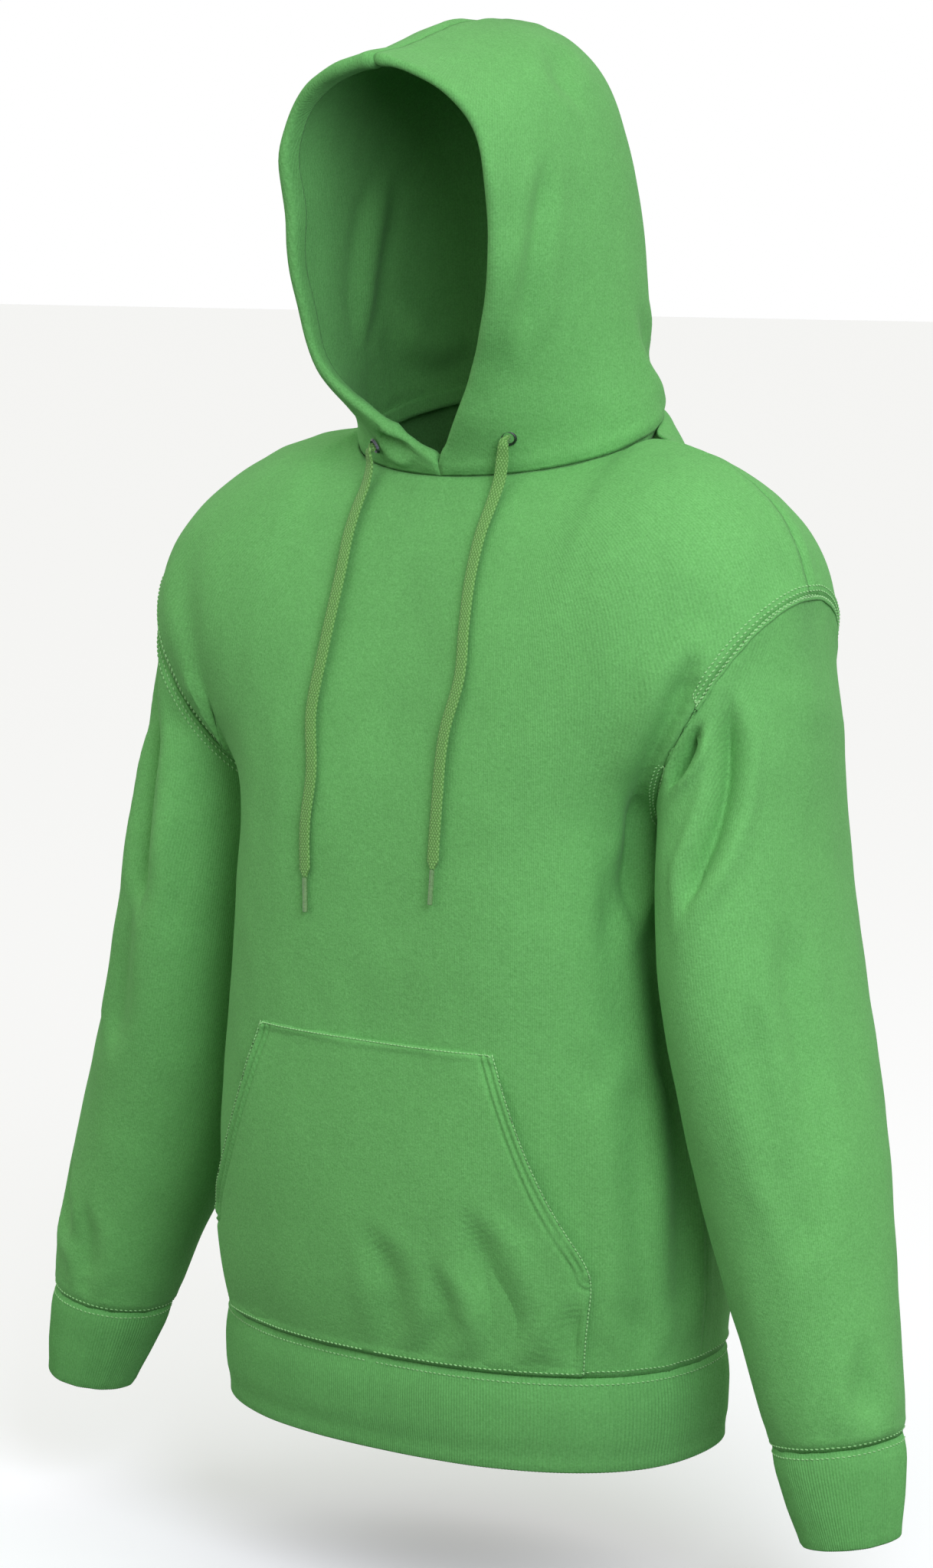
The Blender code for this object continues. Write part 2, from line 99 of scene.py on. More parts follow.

# %% [markdown]
# ## Cords' routes
# The two ends of the hood's drawstring leave their eyelets, fall over the neck seam and hang on the chest.
# A cord's route is a short list of given points, the same as in the construction.

# %% Cords' routes
CORD_ROUTES = {
    "left": (
        (0.0545, -0.0782, -0.0110),
        (0.0528, -0.0782, -0.0220),
        (0.0515, -0.0792, -0.0350),
        (0.0505, -0.0868, -0.0510),
        (0.0503, -0.0972, -0.0670),
        (0.0510, -0.1106, -0.0960),
        (0.0545, -0.1226, -0.1270),
        (0.0580, -0.1324, -0.1600),
        (0.0515, -0.1407, -0.1980),
        (0.0510, -0.1477, -0.2430),
        (0.0505, -0.1518, -0.2850),
    ),
    "right": (
        (-0.0590, -0.0752, -0.0200),
        (-0.0586, -0.0752, -0.0300),
        (-0.0578, -0.0806, -0.0430),
        (-0.0575, -0.0900, -0.0565),
        (-0.0570, -0.0990, -0.0715),
        (-0.0545, -0.1130, -0.1010),
        (-0.0560, -0.1302, -0.1520),
        (-0.0590, -0.1390, -0.1910),
        (-0.0540, -0.1458, -0.2310),
        (-0.0560, -0.1500, -0.2660),
        (-0.0540, -0.1527, -0.3000),
    ),
}

# %% [markdown]
# ## Floor and lights
# The garment floats a little over a plain white floor. A wide soft lamp at its front right and a weak one
# at its front left leave broad, gentle shading, and the sky fills the rest. A floor would normally throw
# light back up, but here that washed out the folds, so diffuse rays don't see it, and it glows a little.

# %% Floor and lights
FLOOR_Z = CAD_BOX[0][2] - 0.09
WHITE = (1, 1, 1, 1)
FLOOR_WHITE = (0.92, 0.92, 1.0, 1)   # takes the fill's warmth out of the floor
FLOOR_GLOW = 0.10
LAMP_TINT = (0.98, 1.0, 1.08)


def area_light(name, place, aim, size, power):
    data = bpy.data.lights.new(name, "AREA")
    data.shape = "DISK"
    data.size = size
    data.energy = power
    data.color = LAMP_TINT
    light = bpy.data.objects.new(name, data)
    bpy.context.scene.collection.objects.link(light)
    light.location = place
    light.rotation_euler = (Vector(aim) - Vector(place)).to_track_quat("-Z", "Y").to_euler()


def only(*objects):
    """Selects these objects and nothing else, and makes the first one active."""
    bpy.ops.object.select_all(action="DESELECT")
    for piece in objects:
        piece.select_set(True)
    bpy.context.view_layer.objects.active = objects[0]


def plain_floor():
    bpy.ops.object.select_all(action="DESELECT")
    bpy.ops.mesh.primitive_plane_add(size=60, location=(0, 0, FLOOR_Z))
    floor = bpy.context.object
    floor.name = "floor"
    bpy.ops.object.transform_apply(location=True)
    material = bpy.data.materials.new("floor_white")
    material.use_nodes = True
    shader = material.node_tree.nodes["Principled BSDF"]
    shader.inputs["Base Color"].default_value = FLOOR_WHITE
    shader.inputs["Emission Color"].default_value = WHITE
    shader.inputs["Emission Strength"].default_value = FLOOR_GLOW
    shader.inputs["Roughness"].default_value = 0.9
    shader.inputs["Specular IOR Level"].default_value = 0.0
    floor.data.materials.append(material)
    floor.visible_diffuse = False


def pale_sky(above, below):
    """A slightly warm sky over the horizon, and a dim one under it for the little that a floor gives back.
    Only its light is warm: the backdrop itself stays white."""
    world = bpy.data.worlds.new("pale_sky")
    bpy.context.scene.world = world
    world.use_nodes = True
    tree = world.node_tree
    background = tree.nodes["Background"]
    place = tree.nodes.new("ShaderNodeTexCoord")
    split = tree.nodes.new("ShaderNodeSeparateXYZ")
    level = tree.nodes.new("ShaderNodeMapRange")
    tree.links.new(place.outputs["Generated"], split.inputs["Vector"])
    tree.links.new(split.outputs["Z"], level.inputs["Value"])
    level.inputs["From Min"].default_value = -0.20
    level.inputs["From Max"].default_value = -0.01
    level.inputs["To Min"].default_value = below
    level.inputs["To Max"].default_value = above
    tree.links.new(level.outputs["Result"], background.inputs["Strength"])
    background.inputs["Color"].default_value = FILL_TINT
    backdrop = tree.nodes.new("ShaderNodeBackground")
    backdrop.inputs["Color"].default_value = WHITE
    rays = tree.nodes.new("ShaderNodeLightPath")
    choice = tree.nodes.new("ShaderNodeMixShader")
    tree.links.new(rays.outputs["Is Camera Ray"], choice.inputs[0])
    tree.links.new(background.outputs[0], choice.inputs[1])
    tree.links.new(backdrop.outputs[0], choice.inputs[2])
    tree.links.new(choice.outputs[0], tree.nodes["World Output"].inputs["Surface"])


SKY_ABOVE, SKY_BELOW = 0.88, 0.04
FILL_TINT = (1.0, 1.0, 0.90, 1)
plain_floor()
pale_sky(SKY_ABOVE, SKY_BELOW)
area_light("right_soft", (1.45, -1.05, 0.62), (0, 0, -0.10), 1.1, 22)
area_light("left_soft", (-1.10, -1.50, 1.10), (0, 0, -0.05), 1.0, 2)
bpy.context.scene.view_settings.view_transform = "Standard"
print("floor at", round(FLOOR_Z, 3))

# %% [markdown]
# ## Fleece-backed jersey
# The cloth is a cotton sweatshirt jersey. Close up it has fine wales that run down the piece and a short
# nap that blurs them, so its green is mottled at about a millimetre and cloudy at a few centimetres. The
# wales follow the cut piece, so they read its own map, called grain, which is laid out in metres.

# %% Fleece-backed jersey
BAND_TURNS = 20 / (2 * math.pi)   # a wave texture of scale 1 has this many bands in a unit


def node_of(tree, kind, **values):
    """A new node with its plain settings and socket values; a name with double underscores is a socket's."""
    node = tree.nodes.new(kind)
    for key, value in values.items():
        if key.startswith("in_"):
            node.inputs[key[3:].replace("_", " ")].default_value = value
        else:
            setattr(node, key, value)
    return node


def mixed(tree, blend, share, first, second):
    """A colour mix whose inputs are links, colours or numbers."""
    mix = node_of(tree, "ShaderNodeMix", data_type="RGBA", blend_type=blend)
    for socket, value in ((mix.inputs[0], share), (mix.inputs[6], first), (mix.inputs[7], second)):
        if hasattr(value, "is_linked"):
            tree.links.new(value, socket)
        else:
            socket.default_value = value
    return mix.outputs[2]


def ranged(tree, value, low, high, from_low=0.3, from_high=0.7):
    """A texture's value stretched from its middle range to the range that is wanted."""
    node = node_of(tree, "ShaderNodeMapRange")
    node.inputs["From Min"].default_value = from_low
    node.inputs["From Max"].default_value = from_high
    node.inputs["To Min"].default_value = low
    node.inputs["To Max"].default_value = high
    tree.links.new(value, node.inputs["Value"])
    return node.outputs["Result"]


def noise_of(tree, vector, scale, detail=2.0, rough=0.6):
    node = node_of(tree, "ShaderNodeTexNoise", in_Scale=scale, in_Detail=detail, in_Roughness=rough)
    tree.links.new(vector, node.inputs["Vector"])
    return node.outputs["Fac"]


def bumped(tree, height, distance, strength, below=None):
    node = node_of(tree, "ShaderNodeBump", in_Distance=distance, in_Strength=strength)
    tree.links.new(height, node.inputs["Height"])
    if below:
        tree.links.new(below, node.inputs["Normal"])
    return node.outputs["Normal"]


def plain_finish(name, roughness, metallic=0.0):
    material = bpy.data.materials.new(name)
    material.use_nodes = True
    shader = material.node_tree.nodes["Principled BSDF"]
    shader.inputs["Roughness"].default_value = roughness
    shader.inputs["Metallic"].default_value = metallic
    return material, material.node_tree, shader


def knit_cloth(name, dark, light, wale_pitch, wale_depth, nap_depth):
    """A knitted cotton with wales at this pitch under a short nap."""
    material, tree, shader = plain_finish(name, 0.92)
    grain = node_of(tree, "ShaderNodeUVMap", uv_map="grain").outputs["UV"]
    place = node_of(tree, "ShaderNodeTexCoord").outputs["Object"]
    nap = noise_of(tree, place, 750, 3.0, 0.65)
    clumps = noise_of(tree, place, 260, 2.0)
    clouds = noise_of(tree, place, 24, 3.0)
    wales = node_of(tree, "ShaderNodeTexWave", wave_type="BANDS", bands_direction="X",
                    in_Scale=1 / (BAND_TURNS * wale_pitch), in_Distortion=1.2, in_Detail=1.0)
    wales.inputs["Detail Scale"].default_value = 3.0
    tree.links.new(grain, wales.inputs["Vector"])
    wale = wales.outputs["Fac"]
    colour = mixed(tree, "MIX", ranged(tree, nap, 0.0, 1.0), (*dark, 1), (*light, 1))
    tints = ((clumps, 0.95, 1.04), (clouds, 0.96, 1.03))
    for value, low, high in tints:
        colour = mixed(tree, "MULTIPLY", 1.0, colour, ranged(tree, value, low, high))
    colour = mixed(tree, "MULTIPLY", 1.0, colour, ranged(tree, wale, 0.95, 1.03, 0.0, 1.0))
    tree.links.new(colour, shader.inputs["Base Color"])
    tree.links.new(ranged(tree, clumps, 0.86, 0.97), shader.inputs["Roughness"])
    shader.inputs["Specular IOR Level"].default_value = 0.2
    shader.inputs["Sheen Weight"].default_value = 0.10
    shader.inputs["Sheen Roughness"].default_value = 0.5
    shader.inputs["Sheen Tint"].default_value = (0.55, 0.95, 0.55, 1)
    rise = bumped(tree, wale, wale_depth, 0.6)
    rise = bumped(tree, clumps, nap_depth * 2.0, 0.5, rise)
    rise = bumped(tree, nap, nap_depth, 0.7, rise)
    tree.links.new(rise, shader.inputs["Normal"])
    return material


DEEP_GREEN = (0.110, 0.352, 0.096)
LIGHT_GREEN = (0.162, 0.466, 0.148)
fleece = knit_cloth("fleece_green", DEEP_GREEN, LIGHT_GREEN, 0.0014, 0.00015, 0.00035)
ribbing = knit_cloth("rib_green", (0.108, 0.345, 0.096), (0.156, 0.455, 0.146), 0.0010, 0.00008, 0.0003)
print("cloth finishes:", fleece.name, ribbing.name)

# %% [markdown]
# ## A cloth face from its solid
# A sewn piece follows the form of its construction solid. The outer face of a solid's copy is kept, its
# triangles become four-sided again and a subdivision surface rounds it, so that the piece has enough points
# for seams and folds. Drawing each piece afresh would work too, but it could drift off its neighbours.

# %% A cloth face from its solid
MERGE = 1e-5
RIM_ANGLE = math.radians(65)


def islands(faces):
    """Groups of faces that hang together."""
    left = set(faces)
    found = []
    while left:
        stack = [left.pop()]
        group = []
        while stack:
            face = stack.pop()
            group.append(face)
            near = {other for edge in face.edges for other in edge.link_faces} & left
            left -= near
            stack.extend(near)
        found.append(group)
    return found


def outer_face(node_name, piece_name):
    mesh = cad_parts[node_name].data.copy()
    piece = bpy.data.objects.new(piece_name, mesh)
    bpy.context.scene.collection.objects.link(piece)
    only(piece)
    bpy.ops.object.mode_set(mode="EDIT")
    bpy.ops.mesh.select_all(action="SELECT")
    bpy.ops.mesh.remove_doubles(threshold=MERGE)
    bpy.ops.mesh.select_mode(type="EDGE")
    bpy.ops.mesh.select_all(action="DESELECT")
    bpy.ops.mesh.edges_select_sharp(sharpness=RIM_ANGLE)
    bpy.ops.mesh.edge_split(type="EDGE")
    shell = bmesh.from_edit_mesh(mesh)
    groups = sorted(islands(shell.faces), key=lambda group: -sum(face.calc_area() for face in group))
    bmesh.ops.delete(shell, geom=[face for group in groups[1:] for face in group], context="FACES")
    bmesh.update_edit_mesh(mesh)
    bpy.ops.mesh.select_all(action="SELECT")
    bpy.ops.mesh.tris_convert_to_quads(face_threshold=math.pi, shape_threshold=math.pi)
    bpy.ops.object.mode_set(mode="OBJECT")
    return piece


def apply_modifier(piece, kind, **values):
    """Adds a modifier to a piece and applies it."""
    only(piece)
    modifier = piece.modifiers.new(kind.lower(), kind)
    for key, value in values.items():
        setattr(modifier, key, value)
    bpy.ops.object.modifier_apply(modifier=modifier.name)


def rounded(piece, levels):
    apply_modifier(piece, "SUBSURF", levels=levels, render_levels=levels,
                   boundary_smooth="PRESERVE_CORNERS", use_creases=False)


def points_of(mesh):
    values = np.empty(len(mesh.vertices) * 3)
    mesh.vertices.foreach_get("co", values)
    return values.reshape(-1, 3)


def normals_of(mesh):
    values = np.empty(len(mesh.vertices) * 3)
    mesh.vertex_normals.foreach_get("vector", values)
    return values.reshape(-1, 3)


def set_points(mesh, points):
    mesh.vertices.foreach_set("co", np.asarray(points, float).ravel())
    mesh.update()


def tree_of(mesh):
    """A search tree over the faces of a mesh."""
    polygons = [tuple(face.vertices) for face in mesh.polygons]
    return BVHTree.FromPolygons([tuple(p) for p in points_of(mesh)], polygons)


def unit(vectors):
    return vectors / np.maximum(np.linalg.norm(vectors, axis=-1, keepdims=True), 1e-12)


def piece_from(name, points, faces):
    """A new object from points and faces."""
    mesh = bpy.data.meshes.new(name)
    mesh.from_pydata(np.asarray(points).tolist(), [], [list(map(int, face)) for face in faces])
    piece = bpy.data.objects.new(name, mesh)
    bpy.context.scene.collection.objects.link(piece)
    return piece


def turn_outwards(piece):
    """Makes a closed piece's faces point outwards, and shades it smooth."""
    only(piece)
    bpy.ops.object.mode_set(mode="EDIT")
    bpy.ops.mesh.select_all(action="SELECT")
    bpy.ops.mesh.normals_make_consistent(inside=False)
    bpy.ops.object.mode_set(mode="OBJECT")
    bpy.ops.object.shade_smooth()


def edge_paths(mesh, wanted=lambda point: True):
    """The rim of an open sheet as runs of vertex numbers, each run along the points that are wanted."""
    shell = bmesh.new()
    shell.from_mesh(mesh)
    links = {}
    for edge in shell.edges:
        ends = [vertex.index for vertex in edge.verts]
        if edge.is_boundary and all(wanted(vertex.co) for vertex in edge.verts):
            for a, b in (ends, ends[::-1]):
                links.setdefault(a, []).append(b)
    shell.free()
    paths = []
    while links:
        start = next((v for v in links if len(links[v]) == 1), next(iter(links)))
        path = [start]
        while links.get(path[-1]):
            here = path[-1]
            after = links[here].pop()
            links[after].remove(here)
            path.append(after)
        paths.append(path[:-1] if path[0] == path[-1] else path)
        links = {v: ends for v, ends in links.items() if ends}
    return sorted(paths, key=len, reverse=True)


print("helpers for cloth faces are ready")

# %% [markdown]
# ## Folds
# A worn garment creases where a seam holds it and where an arm would bend it. Each fold is a soft trough
# with a ridge on one or both sides. A row of the table gives the piece, how deep and wide the fold is, how
# high its two ridges stand, how crisp it is, the side that it is drawn from, in degrees round the garment,
# and its route as points across and up, as that side shows them. Simulated cloth would crease too, but not
# in these places.

# %% Folds
FOLD_COLUMNS = ("piece", "depth", "width", "ridge_left", "ridge_right", "crisp", "side", "route")


def ray_to(tree, side, across, height):
    """Where a level line of sight from a side of the garment first meets a piece."""
    turn = math.radians(side)
    right = Vector((math.cos(turn), math.sin(turn), 0))
    ahead = Vector((-math.sin(turn), math.cos(turn), 0))
    start = right * across - ahead + Vector((0, 0, height))
    place = tree.ray_cast(start, ahead)[0]
    return place or tree.find_nearest(start + ahead * 0.9)[0]


def smooth_path(route, spacing):
    """Points a set distance apart on a smooth curve through a route's own points."""
    route = np.array([tuple(p) for p in route], float)
    reach = np.concatenate([[0], np.cumsum(np.linalg.norm(np.diff(route, axis=0), axis=1))])
    if len(route) > 2:
        slopes = np.gradient(route, reach, axis=0)
    else:
        slopes = np.repeat(np.diff(route, axis=0), 2, 0) / reach[-1]
    places = np.linspace(0, reach[-1], max(3, round(reach[-1] / spacing) + 1))
    index = np.clip(np.searchsorted(reach, places) - 1, 0, len(route) - 2)
    span = (reach[index + 1] - reach[index])[:, None]
    t = (places - reach[index])[:, None] / span
    return (route[index] * (2 * t**3 - 3 * t**2 + 1) + slopes[index] * span * (t**3 - 2 * t**2 + t)
            + route[index + 1] * (3 * t**2 - 2 * t**3) + slopes[index + 1] * span * (t**3 - t**2))


def soft_step(values):
    values = np.clip(values, 0, 1)
    return values * values * (3 - 2 * values)


def distance_to(points, places):
    """How far each point is from the nearest of some places."""
    found = np.empty(len(points))
    for start in range(0, len(points), 4000):
        block = points[start:start + 4000, None] - places[None]
        found[start:start + 4000] = np.sqrt((block**2).sum(2).min(1))
    return found


FOLD_FADE = 0.40   # each end of a fold dies away over this share of its length, and over no more than
FADE_MOST = 0.040  # this many metres
RIDGE_PLACE, RIDGE_WIDTH = 2.0, 0.9   # a fold's ridges, in widths of its trough
RIM_HOLD = 0.006   # a seam holds the cloth beside it, so folds die away over this distance


def rim_share(mesh, points, free_edge=None):
    """Nought on the sewn rim of a sheet, and one where the seam no longer holds the cloth."""
    rim = np.array([v for path in edge_paths(mesh) for v in path])
    if free_edge is not None:
        rim = rim[[not free_edge(points[v]) for v in rim]]
    return soft_step(distance_to(points, points[rim]) / RIM_HOLD)


def press_folds(piece, folds, free_edge=None):
    """Moves a sheet's points along its normals by all the folds that the table gives to it."""
    mesh = piece.data
    points, normals = points_of(mesh), normals_of(mesh)
    held = rim_share(mesh, points, free_edge)
    tree = tree_of(mesh)
    rise = np.zeros(len(points))
    for _, depth, width, ridge_left, ridge_right, crisp, side, route in folds:
        path = smooth_path([ray_to(tree, side, *place) for place in route], 0.004)
        runs = unit(np.gradient(path, axis=0))
        near = np.flatnonzero(np.all((points > path.min(0) - 4 * width)
                                     & (points < path.max(0) + 4 * width), axis=1))
        offsets = points[near, None] - path[None]
        distances = np.linalg.norm(offsets, axis=2)
        step = distances.argmin(1)
        rows = np.arange(len(near))
        share = step / (len(path) - 1)
        length = np.linalg.norm(np.diff(path, axis=0), axis=1).sum()
        fade = soft_step(np.minimum(share, 1 - share) / min(FOLD_FADE, FADE_MOST / length))
        distance = distances[rows, step] / (width * (0.55 + 0.45 * fade))
        leftward = np.cross(runs[step], normals[near])
        which = np.einsum("ij,ij->i", leftward, offsets[rows, step]) > 0
        ridge = np.where(which, ridge_left, ridge_right)
        ridge = ridge * np.exp(-((distance - RIDGE_PLACE) / RIDGE_WIDTH) ** 2)
        rise[near] += depth * fade * (ridge - np.exp(-distance**crisp))
    set_points(mesh, points + normals * (held * rise)[:, None])


def ease(piece, amount, size, stretch=(1, 1, 1), seed=0.0, free_edge=None):
    """Slow unevenness of hanging cloth: ridges and hollows of this size, stretched along an axis."""
    mesh = piece.data
    points, normals = points_of(mesh), normals_of(mesh)
    scaled = points / (np.array(stretch) * size) + seed
    waves = np.array([noise.noise(Vector(p)) for p in scaled])
    held = rim_share(mesh, points, free_edge)
    set_points(mesh, points + normals * (amount * waves * held)[:, None])


# A profile's rows say how far each lifts the cloth, at what distance from the edge and over what width.
SEAM_PROFILE = ((-0.0007, 0, 0.0025), (0.0007, 0.007, 0.004))   # dips into the seam, and puffs beside it
PUCKER = 0.0007
PUCKER_SIZE = 1 / 90
PUCKER_REACH = 0.012
SEAM_CLOSE = 0.00018   # each side of a seam is drawn this far over the gap that its solid leaves


def profile_rise(distance, profile):
    """How far all rows of a profile together lift the cloth at each distance from an edge."""
    return sum(rise * np.exp(-((distance - place) / width) ** 2) for rise, place, width in profile)


def draw_in_seams(piece, free_edge=None):
    """Along its sewn edges a sheet dips into the seam, puffs beside it and puckers a little."""
    mesh = piece.data
    points, normals = points_of(mesh), normals_of(mesh)
    rim = np.array([v for path in edge_paths(mesh) for v in path])
    if free_edge is not None:
        rim = rim[[not free_edge(points[v]) for v in rim]]
    distance = distance_to(points, points[rim])
    waves = np.array([noise.noise(Vector(p / PUCKER_SIZE)) for p in points])
    for path in edge_paths(mesh):
        edge = points[path]
        outs = unit(np.cross(unit(np.gradient(edge, axis=0)), normals[path]))
        half = len(edge) // 2
        inward = points[np.abs(points - edge[half]).sum(1).argsort()[:40]].mean(0) - edge[half]
        outs *= -np.sign(outs[half] @ inward)
        points[path] += outs * SEAM_CLOSE
    rise = profile_rise(distance, SEAM_PROFILE) + PUCKER * waves * np.exp(-distance / PUCKER_REACH)
    set_points(mesh, points + normals * rise[:, None])


def lay_grain(piece, chart):
    """Gives a sheet its grain map in metres from a chart of its points, with no jump inside a face."""
    mesh = piece.data
    around, along, girth = chart(points_of(mesh))
    loops = np.empty(len(mesh.loops), int)
    mesh.loops.foreach_get("vertex_index", loops)
    starts = np.empty(len(mesh.polygons), int)
    mesh.polygons.foreach_get("loop_start", starts)
    counts = np.empty(len(mesh.polygons), int)
    mesh.polygons.foreach_get("loop_total", counts)
    turn = around[loops]
    first = np.repeat(turn[starts], counts)
    turn += np.round((first - turn) / (2 * math.pi)) * 2 * math.pi
    layer = mesh.uv_layers.get("grain") or mesh.uv_layers.new(name="grain")
    layer.data.foreach_set("uv", np.stack([turn * girth, along[loops]], 1).ravel())
    mesh.uv_layers.active = layer


def round_axis(middle_x, middle_y, girth):
    """A chart round an upright axis."""
    def chart(points):
        return np.arctan2(points[:, 0] - middle_x, middle_y - points[:, 1]), points[:, 2], girth
    return chart


def round_own_line(points):
    """A chart round the middle line that a tube's own points give, level by level."""
    levels = np.linspace(points[:, 2].min(), points[:, 2].max(), 15)
    middles = []
    for low, high in zip(levels, levels[1:]):
        slab = points[(points[:, 2] >= low) & (points[:, 2] <= high)]
        middles.append(((low + high) / 2, *((slab[:, :2].min(0) + slab[:, :2].max(0)) / 2)))
    middles = np.array(middles)
    x = np.interp(points[:, 2], middles[:, 0], middles[:, 1])
    y = np.interp(points[:, 2], middles[:, 0], middles[:, 2])
    return np.arctan2(points[:, 0] - x, y - points[:, 1]), points[:, 2], 0.065


def finish_cloth(piece, material, wall, replaced):
    """Gives a sheet its wall and finish, hangs it from the root and hides the solid that it replaces."""
    mesh = piece.data
    mesh.materials.clear()
    mesh.materials.append(material)
    only(piece)
    bpy.ops.object.shade_smooth()
    if wall:
        apply_modifier(piece, "SOLIDIFY", thickness=wall, offset=-1, use_rim=True, use_even_offset=False)
    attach(piece, "root")
    if replaced:
        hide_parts(replaced)
    print(piece.name, len(mesh.polygons), "faces")


print("fold table columns:", ", ".join(FOLD_COLUMNS))

# %% Table of the main folds
FOLDS = (
    # The long fold from the chest to the near armhole, and the sleeve's own trough beside it.
    ("front_panel", 0.0100, 0.0095, 0.20, 0.15, 2.0, 36,
     ((0.118, -0.128), (0.112, -0.154), (0.104, -0.178), (0.095, -0.202), (0.088, -0.226), (0.085, -0.252),
      (0.084, -0.290), (0.086, -0.330))),
    ("front_panel", 0.0060, 0.0150, 0.20, 0.20, 2.0, 36,
     ((0.080, -0.260), (0.072, -0.330), (0.082, -0.420))),
    ("sleeve_left", 0.0140, 0.0075, 0.25, 0.25, 1.8, 36,
     ((0.139, -0.160), (0.140, -0.180), (0.1405, -0.205), (0.136, -0.235), (0.126, -0.260), (0.114, -0.285),
      (0.106, -0.310))),
    ("sleeve_left", 0.0160, 0.0048, 0.25, 0.30, 1.8, 36,
     ((0.124, -0.180), (0.115, -0.197), (0.107, -0.213), (0.100, -0.230))),
    ("sleeve_left", 0.0050, 0.0090, 0.30, 0.30, 2.0, 36,
     ((0.225, -0.560), (0.227, -0.602), (0.207, -0.650))),
    ("sleeve_left", 0.0045, 0.0120, 0.30, 0.30, 2.0, 36,
     ((0.175, -0.300), (0.190, -0.420), (0.185, -0.530))),
    ("sleeve_left", 0.0040, 0.0100, 0.30, 0.30, 2.0, 36,
     ((0.150, -0.350), (0.165, -0.430), (0.175, -0.500))),
    ("sleeve_right", 0.0096, 0.0110, 0.30, 0.30, 2.0, -20,
     ((-0.205, -0.130), (-0.196, -0.220), (-0.180, -0.290), (-0.172, -0.360))),
    ("sleeve_right", 0.0064, 0.0120, 0.40, 0.20, 2.0, 20,
     ((-0.250, -0.200), (-0.268, -0.340), (-0.285, -0.460))),
    ("sleeve_right", 0.0050, 0.0090, 0.40, 0.30, 1.8, 36,
     ((-0.300, -0.560), (-0.298, -0.600), (-0.302, -0.640))),
    ("sleeve_right", 0.0048, 0.0090, 0.40, 0.30, 2.0, 0,
     ((-0.340, -0.520), (-0.325, -0.570), (-0.290, -0.610))),
    # Behind, each armhole pulls a soft fold toward the shoulder blade.
    ("back_panel", 0.0096, 0.0110, 0.30, 0.20, 2.0, 180,
     ((-0.190, -0.110), (-0.165, -0.190), (-0.150, -0.300))),
    ("back_panel", 0.0096, 0.0110, 0.20, 0.30, 2.0, 180,
     ((0.192, -0.120), (0.160, -0.200), (0.148, -0.320))),
    ("sleeve_left", 0.0096, 0.0100, 0.30, 0.20, 2.0, 200,
     ((-0.215, -0.150), (-0.210, -0.240), (-0.196, -0.340))),
    ("sleeve_right", 0.0088, 0.0100, 0.30, 0.20, 2.0, 165,
     ((0.215, -0.140), (0.212, -0.250), (0.200, -0.350))),
    # Over the hem the cloth is drawn in and falls in short ripples.
    ("front_panel", 0.0056, 0.0120, 0.40, 0.40, 2.0, 30,
     ((0.100, -0.400), (0.105, -0.500), (0.108, -0.615))),
    ("front_panel", 0.0080, 0.0180, 0.40, 0.30, 2.0, 60,
     ((0.030, -0.300), (0.045, -0.450), (0.040, -0.600))),
    ("back_panel", 0.0064, 0.0150, 0.40, 0.40, 2.0, 180,
     ((-0.080, -0.440), (-0.070, -0.530), (-0.075, -0.616))),
    ("back_panel", 0.0080, 0.0180, 0.30, 0.40, 2.0, 180,
     ((0.060, -0.400), (0.070, -0.510), (0.060, -0.614))),
    ("back_panel", 0.0056, 0.0120, 0.40, 0.30, 2.0, 180,
     ((0.000, -0.460), (-0.006, -0.540), (0.000, -0.614))),
    ("back_panel", 0.0064, 0.0260, 0.30, 0.30, 2.0, 180,
     ((-0.080, -0.055), (0.000, -0.085), (0.080, -0.055))),
    # The pocket sags in one long diagonal hollow and some soft ripples over the hem.
    ("pocket", 0.0060, 0.0120, 0.25, 0.35, 2.0, 36,
     ((-0.028, -0.500), (-0.016, -0.540), (-0.002, -0.580), (0.014, -0.625))),
    ("pocket", 0.0040, 0.0120, 0.35, 0.25, 2.0, 36, ((-0.095, -0.520), (-0.075, -0.570), (-0.060, -0.620))),
    ("pocket", 0.0030, 0.0090, 0.35, 0.35, 2.0, 36, ((-0.050, -0.540), (-0.040, -0.580), (-0.030, -0.620))),
    ("pocket", 0.0030, 0.0100, 0.35, 0.35, 2.0, 36, ((0.040, -0.560), (0.046, -0.590), (0.056, -0.620))),
    # The hood leans back in one long soft crease on each side.
    ("hood_left", 0.0045, 0.0090, 0.35, 0.35, 2.0, 36,
     ((0.027, 0.180), (0.020, 0.130), (0.014, 0.085), (0.012, 0.040))),
    ("hood_right", 0.0048, 0.0100, 0.35, 0.35, 2.0, -60,
     ((-0.040, 0.170), (-0.030, 0.110), (-0.028, 0.040))),
    ("hood_left", 0.0050, 0.0110, 0.30, 0.30, 2.0, 36, ((0.040, 0.246), (0.060, 0.238), (0.085, 0.215))),
    ("hood_left", 0.0056, 0.0120, 0.40, 0.30, 2.0, 110, ((-0.030, 0.080), (0.000, 0.045), (0.040, 0.040))),
    ("hood_right", 0.0056, 0.0120, 0.40, 0.30, 2.0, 250, ((-0.040, 0.045), (0.000, 0.050), (0.030, 0.080))),
    ("hood_right", 0.0064, 0.0060, 0.50, 0.50, 2.0, 36,
     ((-0.090, -0.006), (-0.078, -0.014), (-0.060, -0.020))),
)


def folds_of(name):
    return [fold for fold in FOLDS if fold[0] == name]


print(len(FOLDS), "folds in the table")

# %% [markdown]
# ## Front, back and sleeves
# The front and the back are cut as one flat shape each and sewn at the shoulders and the sides. A sleeve is
# one flat shape sewn into a tube, and set into a dropped armhole. The underarm gathers what is too much.

# %% Front and back
CLOTH_WALL = 0.0020
BODY_LEVELS = 3
body_chart = round_axis(0, -0.03, 0.165)


